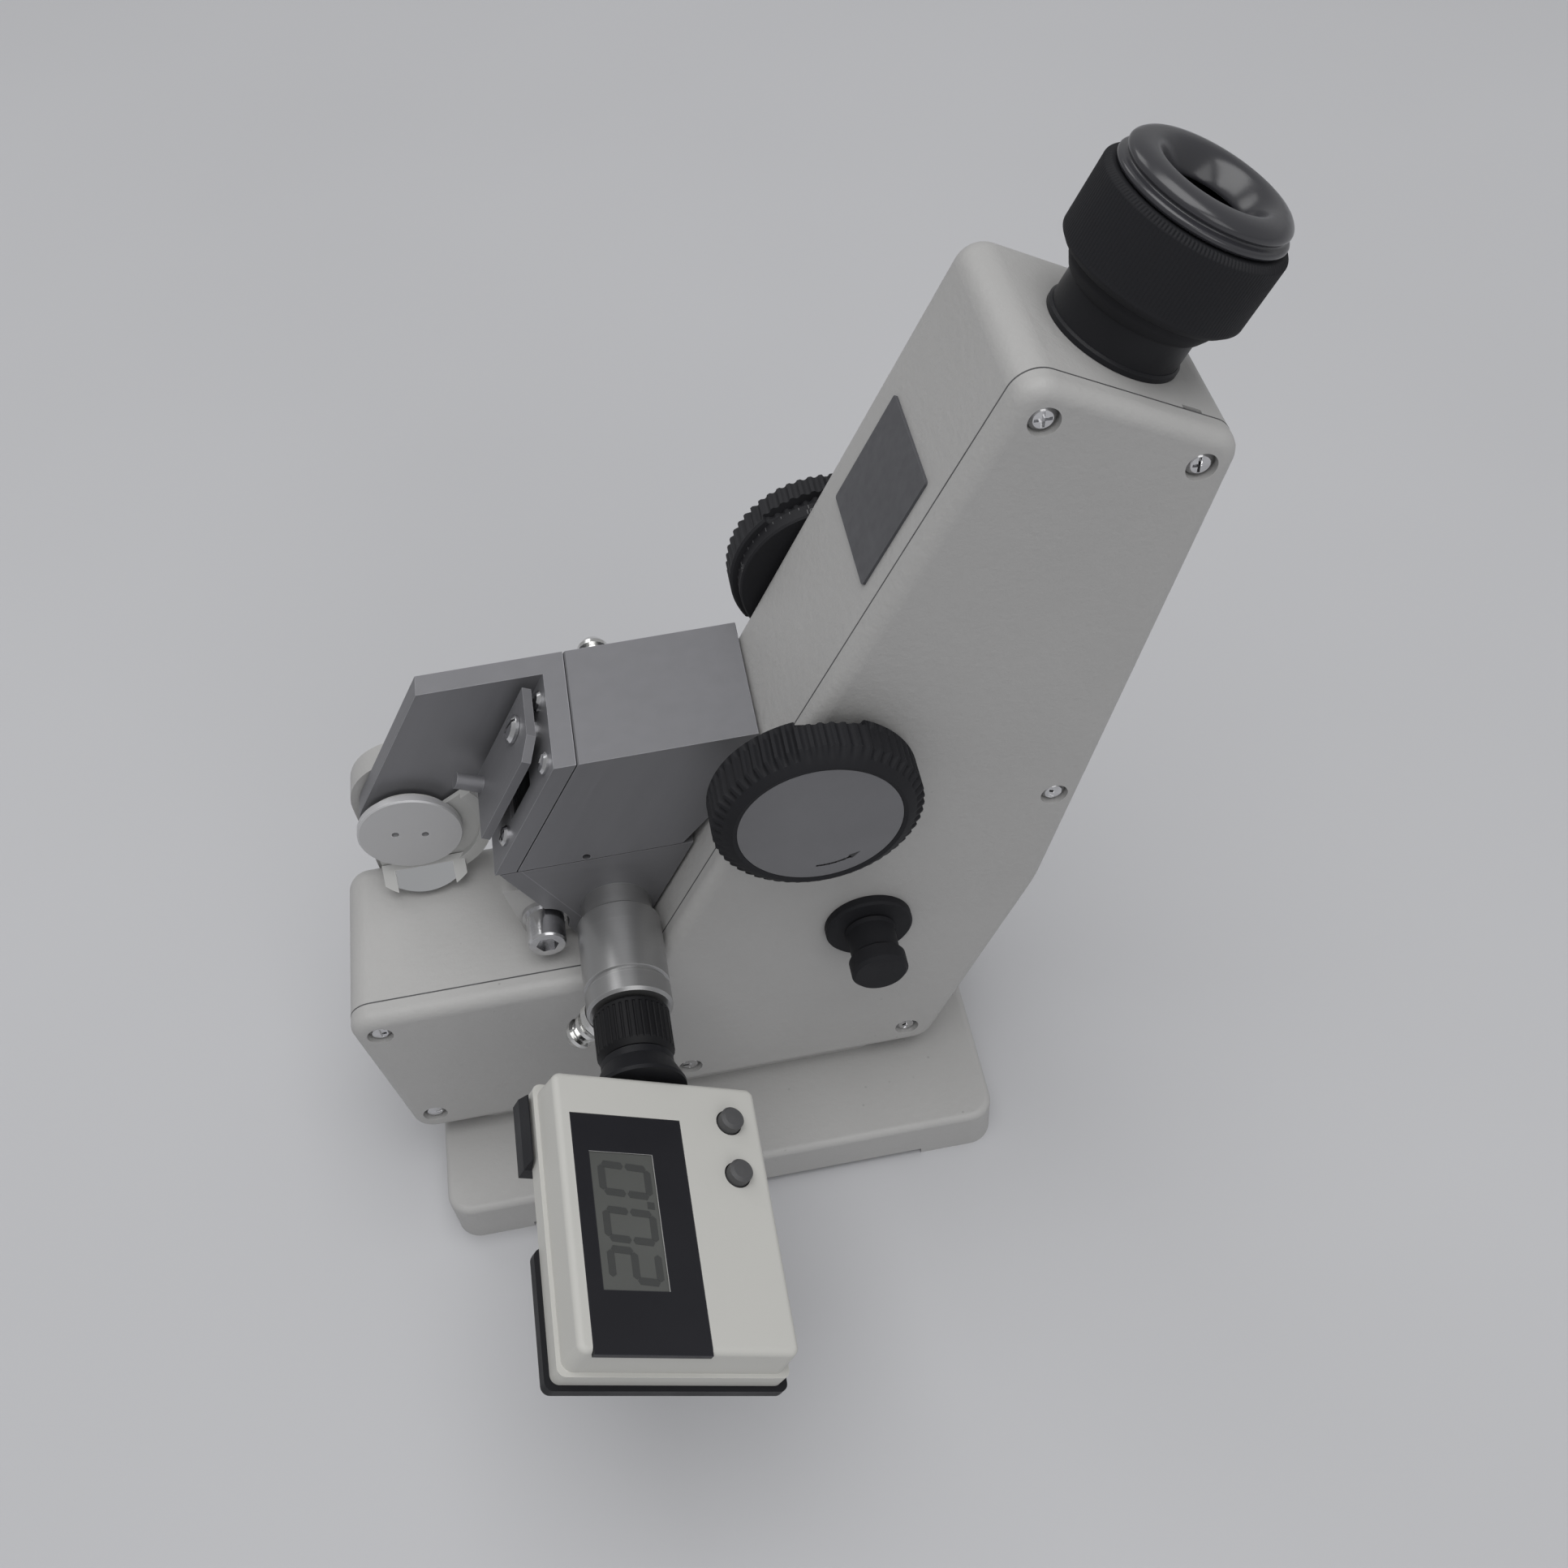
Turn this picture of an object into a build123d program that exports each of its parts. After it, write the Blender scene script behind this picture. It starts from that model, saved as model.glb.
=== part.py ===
from build123d import *
import math
import os

# Abbe refractometer: a cast case on a flat base, a hinged pair of prism housings on its
# left, a slanted arm with an eyepiece, three control knobs and a plug-in thermometer.
# Millimetres. X runs along the case, Y away from the viewer, Z up. The origin is the
# centre of the base's underside, and the case is centred on y = 0.

os.makedirs("parts", exist_ok=True)

# ---------------------------------------------------------------- clearances
running_fit = 0.05  # radial clearance of a shaft in its bore
pocket_fit = 0.10  # clearance round a piece set in a pocket
side_gap = 0.40  # between faces that pass each other

# ---------------------------------------------------------------- base
base_length = 134.4
base_width = 87.4
base_height = 13.5
base_corner = 6.0
base_edge = 1.6
foot_length = 18.6
foot_height = 2.0
foot_notch = 16.0
pedestal_length = 104.0
pedestal_width = 38.0
pedestal_height = 4.6
pedestal_x = -8.0
bolt_spacing = 66.0
bolt_pitch_y = 22.0
bolt_radius = 3.0
bolt_head_radius = 5.0
bolt_head_height = 6.0
bolt_reach = 8.0
bolt_sink = 1.5

# ---------------------------------------------------------------- case
case_half = 22.4
case_wall = 4.0
cover_thickness = 5.1
cover_recess = 2.0
cover_rim = 9.0
cover_edge = 3.0
low_case_height = 51.8
heel_left = -72.1
heel_right = 55.2
nose_left = -77.2
knee_x = 80.0
knee_height = 60.2
elbow_x = -8.0
arm_lean = 28.26
arm_length = 166.3
arm_end_depth = 43.5
case_corner = 5.5
case_edge = 4.5
knee_radius = 40.0
elbow_radius = 3.0
pry_slot_width = 4.0
pry_slot_depth = 1.2

# how far the cover screws sit from the case's edges
arm_screw_down = 6.7
arm_screw_front = 6.4
arm_screw_back = 4.9
knee_screw_right = 1.5
knee_screw_rise = 30.3
heel_screw_in = 5.4
heel_screw_rise = 7.4
elbow_screw_right = 3.9
nose_screw_in = 6.8
nose_screw_down = 6.2

screw_radius = 1.45
screw_head_radius = 2.55
screw_head_height = 2.0
screw_pocket_radius = 2.9
screw_pocket_depth = 2.6
screw_length = 12.0
screw_boss_radius = 4.4
cross_width = 0.7
cross_length = 3.2
cross_depth = 0.9
slot_turn = 37.0

badge_size = 25.0
badge_thickness = 0.6
badge_down = 42.6
badge_corner = 0.6

# ---------------------------------------------------------------- prism housings
block_bottom = 97.8
block_height = 31.2
block_near = -9.6
parting_foot_x = -32.1
parting_slope = 60.0
parting_gap = 0.3
block_gap = 0.8
block_undercut = 7.2
seat_gap = 0.3
light_hole_radius = 5.0
case_window_radius = 6.0
prism_y = 2.0
prism_width = 15.0
prism_start = 6.0
prism_length = 24.0
prism_depth = 13.0
prism_taper = 6.0
housing_bolt_radius = 2.0
housing_bolt_head = 3.5
housing_bolt_head_height = 4.0
housing_bolt_reach = 7.0
housing_bolt_y = 14.0
housing_bolt_low = 45.0
housing_bolt_high = 58.0
nipple_x = -8.5
nipple_z = 120.0
nipple_neck = 2.7
nipple_barb = 3.5
nipple_collar = 4.3
nipple_length = 9.6
nipple_bore = 1.5
nipple_stub = 2.4
weep_hole_radius = 0.9

plate_thickness = 4.0
arm_wall = 5.6
arm_top_left_x = -45.9
arm_round = 11.1
window_start = 8.5
window_length = 13.5
window_width = 13.0
window_lip = 0.8
housing_screw_head = 2.3
housing_screw_radius = 1.2
housing_screw_reach = 3.0
housing_screw_dome = 1.3
housing_screw_low = 6.2
housing_screw_high = 30.2
housing_screw_near_y = -5.4
housing_screw_far_y = 11.8

shield_gap = 2.0
shield_thickness = 2.0
shield_near = -3.3
shield_far = 14.0
shield_start = 1.6
shield_end = 31.2
shield_corner = 4.0
shield_pivot_up = 25.3
shield_pivot_y = 7.3
shield_shoulder = 1.9
shield_screw_head = 3.1
shield_screw_dome = 1.7
finger_pin_radius = 1.8
finger_pin_length = 6.0
finger_pin_up = 4.2
finger_pin_y = 9.6

# ---------------------------------------------------------------- hinge and mirror
hinge_x = -56.4
hinge_z = 89.8
hinge_radius = 3.9
hinge_cap_radius = 11.7
hinge_cap_thickness = 2.1
spanner_hole_radius = 0.85
spanner_hole_offset = 3.3
hub_radius = 10.0
hub_thickness = 1.2
mirror_gap = 0.9
ear_gap = 0.6
ear_thickness = 6.4
ear_round = 13.0
ear_stem = 10.0
ear_foot_x = -59.0
ear_foot_z = 55.0
shaft_head_radius = 6.0
shaft_head_thickness = 1.6
mirror_reach = 18.2
mirror_rim = 2.8
mirror_rim_height = 1.4
mirror_ear_start = -78.0
mirror_ear_end = 32.0
mirror_frame_width = 19.0
mirror_frame_length = 8.9
mirror_frame_thickness = 1.7
mirror_slope = 45.0
mirror_window_width = 13.4
mirror_bar = 1.6
mirror_lip = 0.8
mirror_glass_thickness = 1.1

# ---------------------------------------------------------------- cradle and seat
cradle_top_left = -36.0
cradle_bottom_left = -23.5
cradle_foot = 1.8
cradle_band = 4.2
cradle_depth = 22.0
pedestal_left_top = -37.2
pedestal_left_foot = -34.6
post_height = 18.1
post_near = -7.0
post_far = 14.0
post_right = -9.0
cap_screw_x = -29.7
cap_screw_z = 77.5
cap_screw_head = 4.3
cap_screw_head_height = 7.4
cap_screw_radius = 2.5
cap_screw_reach = 12.0
cap_screw_hex = 4.4
cap_screw_hex_depth = 3.0
washer_radius = 5.0
washer_thickness = 1.2

# ---------------------------------------------------------------- thermometer
probe_x = -13.4
probe_z = 80.0
probe_radius = 2.0
probe_reach = 9.0
probe_tail = 5.0
socket_ring = 7.8
socket_ring_length = 4.8
socket_barrel = 9.25
socket_barrel_length = 23.4
socket_groove = 0.5
socket_groove_up = 6.2
hose_up = 4.6
hose_slant = 45.0
hose_collar_out = 0.55
socket_bore = 5.0
socket_bore_depth = 18.0
nut_radius = 8.15
nut_length = 11.4
nut_gap = 0.5
nut_flute = 0.35
nut_flutes = 36
stem_waist = 7.6
stem_flare = 9.6
stem_length = 6.8
head_roll = 30.0
head_width = 44.0
head_length = 56.4
head_front = 7.2
head_front_depth = 11.3
head_back_depth = 3.2
head_wall = 1.8
head_round = 1.3
head_taper = 4.0
rim_height = 3.6
rim_proud = 0.6
back_inset = 0.5
back_pad_share = 0.48
back_proud = 1.1
panel_left = -19.3
panel_right = 3.9
panel_far = 8.9
panel_depth = 1.2
panel_overhang = 0.5
glass_left = -16.2
glass_right = -3.0
glass_far = 17.0
glass_near = 44.9
button_across = 15.0
button_far = 8.5
button_pitch = 11.6
button_radius = 2.5
button_proud = 2.6
button_flange = 3.4
button_flange_thickness = 0.9
button_travel = 0.9
board_width = 34.0
board_length = 46.0
board_thickness = 1.4
board_post_radius = 1.6
board_post_inset = 3.0
clip_length = 15.5
clip_thickness = 1.6
clip_rise = 3.2
clip_far = 0.3

# ---------------------------------------------------------------- knobs
lock_x = 30.6
lock_z = 128.1
lock_radius = 21.0
lock_gap = 2.7
lock_thickness = 9.8
lock_disc_radius = 16.35
lock_disc_thickness = 1.0
lock_disc_sink = 0.3
lock_shaft_radius = 2.0
lock_bush_radius = 4.2
lock_shaft_reach = 20.0
lock_cam_offset = 2.0
lock_cam_radius = 2.2
lock_cam_width = 8.0
rib_pitch = 6.3
rib_depth = 0.8
rib_groups = 3
ribs_in_group = 13
rib_step = 0.9
rib_first_angle = 100.0
far_rib_first_angle = 130.0
knob_lip = 2.6

index_x = 41.1
index_z = 74.4
index_flange_radius = 9.8
index_flange_thickness = 2.2
index_waist = 5.4
index_end = 6.3
index_length = 11.5
index_shaft_radius = 2.0
index_bush_radius = 4.0
pinion_radius = 3.0
gear_gap = 0.3
sector_thickness = 2.5
sector_y = 9.0
sector_swing = 15.0
sector_margin = 7.0
pivot_radius = 2.5
sector_hub = 5.0
scale_glass_inner = 21.0
scale_glass_outer = 29.0
scale_glass_thickness = 1.4
scale_mirror_size = 12.0
scale_mirror_thickness = 1.6
mirror_table_thickness = 2.0

wheel_along = 82.8
wheel_across = 14.5
wheel_radius = 21.0
wheel_gap = 0.5
scale_ring_radius = 19.4
scale_ring_thickness = 3.3
wheel_thickness = 8.8
wheel_shaft_radius = 1.4
wheel_bush_radius = 2.6
worm_radius = 2.0
worm_length = 12.0

# ---------------------------------------------------------------- optics in the arm
optic_across = 23.57
tube_radius = 12.5
tube_wall = 2.5
tube_start = 71.0
tube_lip = 1.6
tube_lip_radius = 7.6
cell_length = 7.2
cell_bore = 5.0
cell_neck = 6.6
crown_radius = 8.4
crown_thickness = 1.3
crown_gap = 4.2
idler_radius = 1.7
idler_thickness = 1.6
idler_reach = 7.2
idler_pin_radius = 0.7
lens_thickness = 4.0
reticle_down = 26.3
reticle_thickness = 1.6
saddle_thickness = 6.0
saddle_low_along = 105.0
saddle_high_down = 32.3
condenser_radius = 8.0
condenser_x = 41.5
condenser_z = 88.5
condenser_thickness = 2.0

# ---------------------------------------------------------------- eyepiece
eye_flange_radius = 13.0
eye_flange_thickness = 1.4
eye_tube_proud = 14.0
eye_travel = 2.0
neck_start = 7.6
neck_radius = 13.2
neck_top_radius = 14.4
neck_top = 9.6
collar_start = 11.5
collar_radius = 17.5
collar_end = 26.2
knurl_count = 60
knurl_depth = 0.45
lens_tube_wall = 2.0
lens_tube_inset = 18.0
lens_flange_radius = 12.0
lens_flange_thickness = 1.6
eyecup_height = 5.2
eyecup_band_radius = 16.1
eyecup_band_height = 1.9
eyecup_groove = 0.5
eyecup_dome_radius = 15.4
eyecup_top = 12.8
eyecup_mouth = 9.7
eyecup_throat = 7.4
eye_lens_thickness = 3.0
field_lens_thickness = 2.5

# ---------------------------------------------------------------- derived places
lean_sin = math.sin(math.radians(arm_lean))
lean_cos = math.cos(math.radians(arm_lean))
part_sin = math.sin(math.radians(parting_slope))
part_cos = math.cos(math.radians(parting_slope))
case_bottom = base_height + pedestal_height
shelf_z = case_bottom + low_case_height
joint_y = -case_half + cover_thickness
far_wall_y = case_half - case_wall
block_top = block_bottom + block_height
light_z = block_bottom + block_height / 2
arm_wall_far = case_half
arm_wall_near = arm_wall_far - arm_wall
hub_far = arm_wall_near - mirror_gap
hub_near = hub_far - hub_thickness
cap_back = hub_near - side_gap
cap_front = cap_back - hinge_cap_thickness
ear_near = case_half + ear_gap
ear_far = ear_near + ear_thickness
badge_along = arm_length - badge_down
reticle_along = arm_length - reticle_down
saddle_high_along = arm_length - saddle_high_down

up_the_arm = Vector(lean_sin, 0, lean_cos)
across_the_arm = Vector(lean_cos, 0, -lean_sin)
toward_far = Vector(0, 1, 0)
toward_near = Vector(0, -1, 0)
up_the_parting = Vector(part_cos, 0, part_sin)
into_block = Vector(part_sin, 0, -part_cos)


def arm_point(along, across, y=0.0):
    """Point of the arm: along it from the elbow, and across from its slanted front face."""
    return Vector(elbow_x, y, shelf_z) + up_the_arm * along + across_the_arm * across


def arm_xz(along, across):
    """The same place as a pair for a sketch seen from the near side."""
    point = arm_point(along, across)
    return (point.X, point.Z)


def front_face_x(z, gap=0.0):
    """X of the arm's slanted front face at a height, less a gap square to the face."""
    return elbow_x + (z - shelf_z) * lean_sin / lean_cos - gap / lean_cos


def parting_point(up, depth, y=0.0):
    """Point by the parting face: up it from the foot, and into the fixed block."""
    return Vector(parting_foot_x, y, block_bottom) + up_the_parting * up + into_block * depth


def parting_xz(up, depth):
    """The same place as a pair for a sketch seen from the near side."""
    point = parting_point(up, depth)
    return (point.X, point.Z)


def parting_at(z, depth):
    """The pair on a line beside the parting face, at a height."""
    up = (z - block_bottom + depth * part_cos) / part_sin
    return parting_xz(up, depth)


def at_y(y):
    """Sketch plane seen from the near side: x to the right, z up, at a depth y."""
    return Plane.XZ.offset(-y)


def turn(start, direction, profile, mode=Mode.ADD):
    """Turns a half section of (radius, distance) pairs about the line from start."""
    line = Vector(direction).normalized()
    guide = Vector(0, 1, 0) if abs(line.Y) < 0.5 else Vector(1, 0, 0)
    side = (guide - line * guide.dot(line)).normalized()
    with BuildSketch(Plane(origin=start, x_dir=side, z_dir=side.cross(line))) as section:
        with BuildLine():
            Polyline(*profile, close=True)
        make_face()
    revolve(section.sketch, axis=Axis(start, line), mode=mode)


def round_bar(start, direction, radius, length, mode=Mode.ADD):
    """A plain cylinder from start along direction."""
    with BuildSketch(Plane(origin=start, z_dir=Vector(direction))) as end:
        Circle(radius)
    extrude(end.sketch, amount=length, mode=mode)


def plate_between(near, far, points, mode=Mode.ADD):
    """A slab with a straight-sided outline in x and z, from y near to y far."""
    with BuildSketch(at_y(near)) as outline:
        with BuildLine():
            Polyline(*points, close=True)
        make_face()
    extrude(outline.sketch, amount=near - far, mode=mode)


def cross_slot(centre, direction, turned_by, mode=Mode.SUBTRACT):
    """The cross recess of a screw head, cut inwards from its face."""
    face = Plane(origin=centre, z_dir=Vector(direction))
    with BuildSketch(face.rotated((0, 0, turned_by))) as cross:
        Rectangle(cross_length, cross_width)
        Rectangle(cross_width, cross_length)
    extrude(cross.sketch, amount=-cross_depth, mode=mode)


def case_outline(inset=0.0):
    """Side outline of the case, as x and z pairs with rounded corners."""
    corners = [
        (heel_left, case_bottom),
        (heel_right, case_bottom),
        (knee_x, case_bottom + knee_height),
        arm_xz(arm_length, arm_end_depth),
        arm_xz(arm_length, 0),
        (elbow_x, shelf_z),
        (nose_left, shelf_z),
    ]
    radii = [
        case_corner, case_corner, knee_radius, case_corner, case_corner, elbow_radius, case_corner,
    ]
    with BuildSketch() as outline:
        with BuildLine():
            FilletPolyline(*corners, radius=radii, close=True)
        make_face()
        if inset > 0:
            offset(amount=-inset, mode=Mode.REPLACE)
    return outline.sketch


cover_screw_spots = [
    arm_xz(arm_length - arm_screw_down, arm_screw_front),
    arm_xz(arm_length - arm_screw_down, arm_end_depth - arm_screw_back),
    (knee_x + knee_screw_right, case_bottom + knee_height + knee_screw_rise),
    (heel_right - heel_screw_in, case_bottom + heel_screw_rise),
    (elbow_x + elbow_screw_right, case_bottom + heel_screw_rise),
    (heel_left + heel_screw_in, case_bottom + heel_screw_rise),
    (nose_left + nose_screw_in, shelf_z - nose_screw_down),
]
bolt_spots = [
    (pedestal_x + side * bolt_spacing / 2, end * bolt_pitch_y / 2)
    for side in (-1, 1)
    for end in (-1, 1)
]
housing_bolt_spots = [
    (housing_bolt_low, housing_bolt_y),
    (housing_bolt_high, housing_bolt_y),
]

# ================================================================ base
with BuildPart() as base_plate:
    with BuildSketch(Plane.XY):
        RectangleRounded(base_length, base_width, base_corner)
    extrude(amount=base_height)
    fillet(base_plate.faces().sort_by(Axis.Z)[-1].edges(), radius=base_edge)
    with BuildSketch(Plane.XY.offset(base_height)):
        with Locations((pedestal_x, 0)):
            RectangleRounded(pedestal_length, pedestal_width, base_corner)
    extrude(amount=pedestal_height)
    with BuildSketch(Plane.XY):
        for side in (-1, 1):
            with Locations((0, side * base_width / 2)):
                Rectangle(base_length - 2 * foot_length, 2 * foot_notch)
    extrude(amount=foot_height, mode=Mode.SUBTRACT)
    bolt_seat_z = bolt_sink + bolt_head_height
    with BuildSketch(Plane.XY):
        with Locations(*bolt_spots):
            Circle(bolt_head_radius + side_gap)
    extrude(amount=bolt_seat_z, mode=Mode.SUBTRACT)
    with BuildSketch(Plane.XY.offset(bolt_seat_z)):
        with Locations(*bolt_spots):
            Circle(bolt_radius + pocket_fit)
    extrude(amount=case_bottom - bolt_seat_z, mode=Mode.SUBTRACT)
base_plate.part.label = "base_plate"
export_step(base_plate.part, "parts/base_plate.step")

with BuildPart() as base_bolts:
    with BuildSketch(Plane.XY.offset(bolt_seat_z)):
        with Locations(*bolt_spots):
            Circle(bolt_head_radius)
    extrude(amount=-bolt_head_height)
    with BuildSketch(Plane.XY.offset(bolt_seat_z)):
        with Locations(*bolt_spots):
            Circle(bolt_radius)
    extrude(amount=case_bottom + bolt_reach - bolt_seat_z)
    with BuildSketch(Plane.XY.offset(bolt_seat_z - bolt_head_height)):
        with Locations(*bolt_spots):
            RegularPolygon(bolt_radius, 6)
    extrude(amount=bolt_head_height / 2, mode=Mode.SUBTRACT)
base_bolts.part.label = "base_bolts"
export_step(base_bolts.part, "parts/base_bolts.step")

# ================================================================ case
saddle_centre_low = arm_point(saddle_low_along, optic_across)
saddle_centre_high = arm_point(saddle_high_along, optic_across)
wheel_centre = arm_point(wheel_along, wheel_across)
pivot_x = front_face_x(light_z) + optic_across / lean_cos

with BuildPart() as body_casting:
    with BuildSketch(at_y(joint_y)):
        add(case_outline())
    extrude(amount=joint_y - case_half)
    fillet(body_casting.faces().sort_by(Axis.Y)[-1].edges(), radius=case_edge)
    with BuildSketch(at_y(joint_y)):
        add(case_outline(case_wall))
        with Locations(*cover_screw_spots):
            Circle(screw_boss_radius, mode=Mode.SUBTRACT)
    extrude(amount=joint_y - far_wall_y, mode=Mode.SUBTRACT)
    for spot in cover_screw_spots:
        round_bar((spot[0], joint_y, spot[1]), toward_far, screw_radius + pocket_fit, screw_length,
                  Mode.SUBTRACT)
    for spot in bolt_spots:
        round_bar((spot[0], spot[1], case_bottom), (0, 0, 1), bolt_head_radius + 1, bolt_reach + 2)
        round_bar((spot[0], spot[1], case_bottom), (0, 0, 1), bolt_radius + running_fit,
                  bolt_reach + 0.5, Mode.SUBTRACT)
    # the round ear that carries the prism hinge, on a pad of the far wall
    with BuildSketch(at_y(ear_near)):
        with Locations((hinge_x, hinge_z)):
            Circle(ear_round)
        with Locations((ear_foot_x, ear_foot_z)):
            Circle(ear_stem)
        make_hull()
    extrude(amount=-ear_thickness)
    round_bar((ear_foot_x, far_wall_y, ear_foot_z), toward_far, ear_stem, ear_near - far_wall_y)
    round_bar((hinge_x, ear_near, hinge_z), toward_far, hinge_radius + running_fit,
              ear_thickness, Mode.SUBTRACT)
    # the post that the prism cradle is clamped to
    cradle_bottom = shelf_z + cradle_foot
    cradle_top = block_bottom - seat_gap
    cradle_side = (cradle_bottom_left - cradle_top_left) / (cradle_top - cradle_bottom)
    post_top = shelf_z + post_height
    post_points = [
        (pedestal_left_foot, shelf_z - case_wall / 2),
        (post_right, shelf_z - case_wall / 2),
        (post_right, cradle_bottom),
        (cradle_bottom_left, cradle_bottom),
        (cradle_bottom_left - cradle_side * (post_top - cradle_bottom), post_top),
        (pedestal_left_top, post_top),
        (pedestal_left_foot, shelf_z),
    ]
    plate_between(post_near, post_far, post_points)
    round_bar((cap_screw_x, post_near, cap_screw_z), toward_far, cap_screw_radius + running_fit,
              cap_screw_reach + 0.5, Mode.SUBTRACT)
    # the window for the light, and the clearance holes of the housing bolts
    window_x = front_face_x(light_z)
    round_bar((window_x - 2 * case_wall, 0, light_z), (1, 0, 0), case_window_radius,
              5 * case_wall, Mode.SUBTRACT)
    for along, y in housing_bolt_spots:
        round_bar(arm_point(along, -1, y), across_the_arm, housing_bolt_radius + pocket_fit,
                  case_wall + 2, Mode.SUBTRACT)
    # the end wall's hole, and two saddles from the far wall that hold the optical tube
    for centre in (saddle_centre_low, saddle_centre_high):
        with BuildSketch(Plane(origin=centre, x_dir=across_the_arm, z_dir=up_the_arm)):
            with Locations((0, far_wall_y / 2)):
                Rectangle(2 * tube_radius + 8, far_wall_y)
        extrude(amount=saddle_thickness)
    bore_start = arm_point(tube_start - 1, optic_across)
    round_bar(bore_start, up_the_arm, tube_radius + pocket_fit, arm_length - tube_start + 2,
              Mode.SUBTRACT)
    # the post that the scale turns on, the bearings of the shafts and the condenser's hole
    sector_far = sector_y + sector_thickness
    round_bar((pivot_x, sector_y - 2, light_z), toward_far, pivot_radius, far_wall_y - sector_y + 2)
    round_bar((index_x, far_wall_y - 3, index_z), toward_far, index_shaft_radius + 2, 3)
    round_bar((index_x, far_wall_y - 3, index_z), toward_far, index_shaft_radius + running_fit,
              4, Mode.SUBTRACT)
    round_bar((wheel_centre.X, far_wall_y, wheel_centre.Z), toward_far,
              wheel_bush_radius + running_fit, case_wall + 1, Mode.SUBTRACT)
    round_bar((condenser_x, far_wall_y - 1, condenser_z), toward_far,
              condenser_radius + pocket_fit, case_wall + 2, Mode.SUBTRACT)
    # a lip behind the condenser window
    turn((condenser_x, far_wall_y, condenser_z), toward_far,
         [(condenser_radius - 1, 0), (condenser_radius + 2, 0),
          (condenser_radius + 2, case_wall - condenser_thickness),
          (condenser_radius - 1, case_wall - condenser_thickness)])
    # the pry slot in the joint at the top of the arm
    slot_centre = arm_point(arm_length, arm_end_depth - case_corner - pry_slot_width)
    with BuildSketch(Plane(origin=slot_centre, x_dir=across_the_arm, z_dir=up_the_arm)):
        with Locations((0, joint_y + pry_slot_depth / 2)):
            Rectangle(pry_slot_width, pry_slot_depth)
    extrude(amount=-case_wall / 2, mode=Mode.SUBTRACT)
body_casting.part.label = "body_casting"
export_step(body_casting.part, "parts/body_casting.step")

with BuildPart() as side_cover:
    with BuildSketch(at_y(-case_half)):
        add(case_outline())
    extrude(amount=-cover_thickness)
    fillet(side_cover.faces().sort_by(Axis.Y)[0].edges(), radius=cover_edge)
    with BuildSketch(at_y(joint_y)):
        add(case_outline(cover_rim))
        with Locations(*cover_screw_spots):
            Circle(screw_boss_radius + 1, mode=Mode.SUBTRACT)
        with Locations((lock_x, lock_z), (index_x, index_z)):
            Circle(index_flange_radius, mode=Mode.SUBTRACT)
    extrude(amount=cover_recess, mode=Mode.SUBTRACT)
    for spot in cover_screw_spots:
        round_bar((spot[0], -case_half, spot[1]), toward_far, screw_pocket_radius,
                  screw_pocket_depth, Mode.SUBTRACT)
        round_bar((spot[0], -case_half, spot[1]), toward_far, screw_radius + pocket_fit,
                  cover_thickness, Mode.SUBTRACT)
    round_bar((lock_x, -case_half, lock_z), toward_far, lock_bush_radius + running_fit,
              cover_thickness, Mode.SUBTRACT)
    round_bar((index_x, -case_half, index_z), toward_far, index_bush_radius + pocket_fit,
              cover_thickness, Mode.SUBTRACT)
side_cover.part.label = "side_cover"
export_step(side_cover.part, "parts/side_cover.step")

with BuildPart() as cover_screws:
    head_seat = -case_half + screw_pocket_depth
    for number, spot in enumerate(cover_screw_spots):
        turn((spot[0], head_seat, spot[1]), toward_near,
             [(0, -cover_thickness - screw_length + screw_pocket_depth + 1),
              (screw_radius, -cover_thickness - screw_length + screw_pocket_depth + 1),
              (screw_radius, 0), (screw_head_radius, 0),
              (screw_head_radius, screw_head_height * 0.6),
              (screw_head_radius * 0.7, screw_head_height * 0.95), (0, screw_head_height)])
        cross_slot((spot[0], head_seat - screw_head_height, spot[1]), toward_near,
                   slot_turn * number)
cover_screws.part.label = "cover_screws"
export_step(cover_screws.part, "parts/cover_screws.step")

with BuildPart() as badge_plate:
    with BuildSketch(Plane(origin=arm_point(badge_along, 0), x_dir=(0, 1, 0),
                           z_dir=across_the_arm * -1)):
        RectangleRounded(badge_size, badge_size, badge_corner)
    extrude(amount=badge_thickness)
badge_plate.part.label = "badge_plate"
export_step(badge_plate.part, "parts/badge_plate.step")

with BuildPart() as condenser_window:
    round_bar((condenser_x, case_half - condenser_thickness, condenser_z), toward_far,
              condenser_radius, condenser_thickness)
condenser_window.part.label = "condenser_window"
export_step(condenser_window.part, "parts/condenser_window.step")

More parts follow.
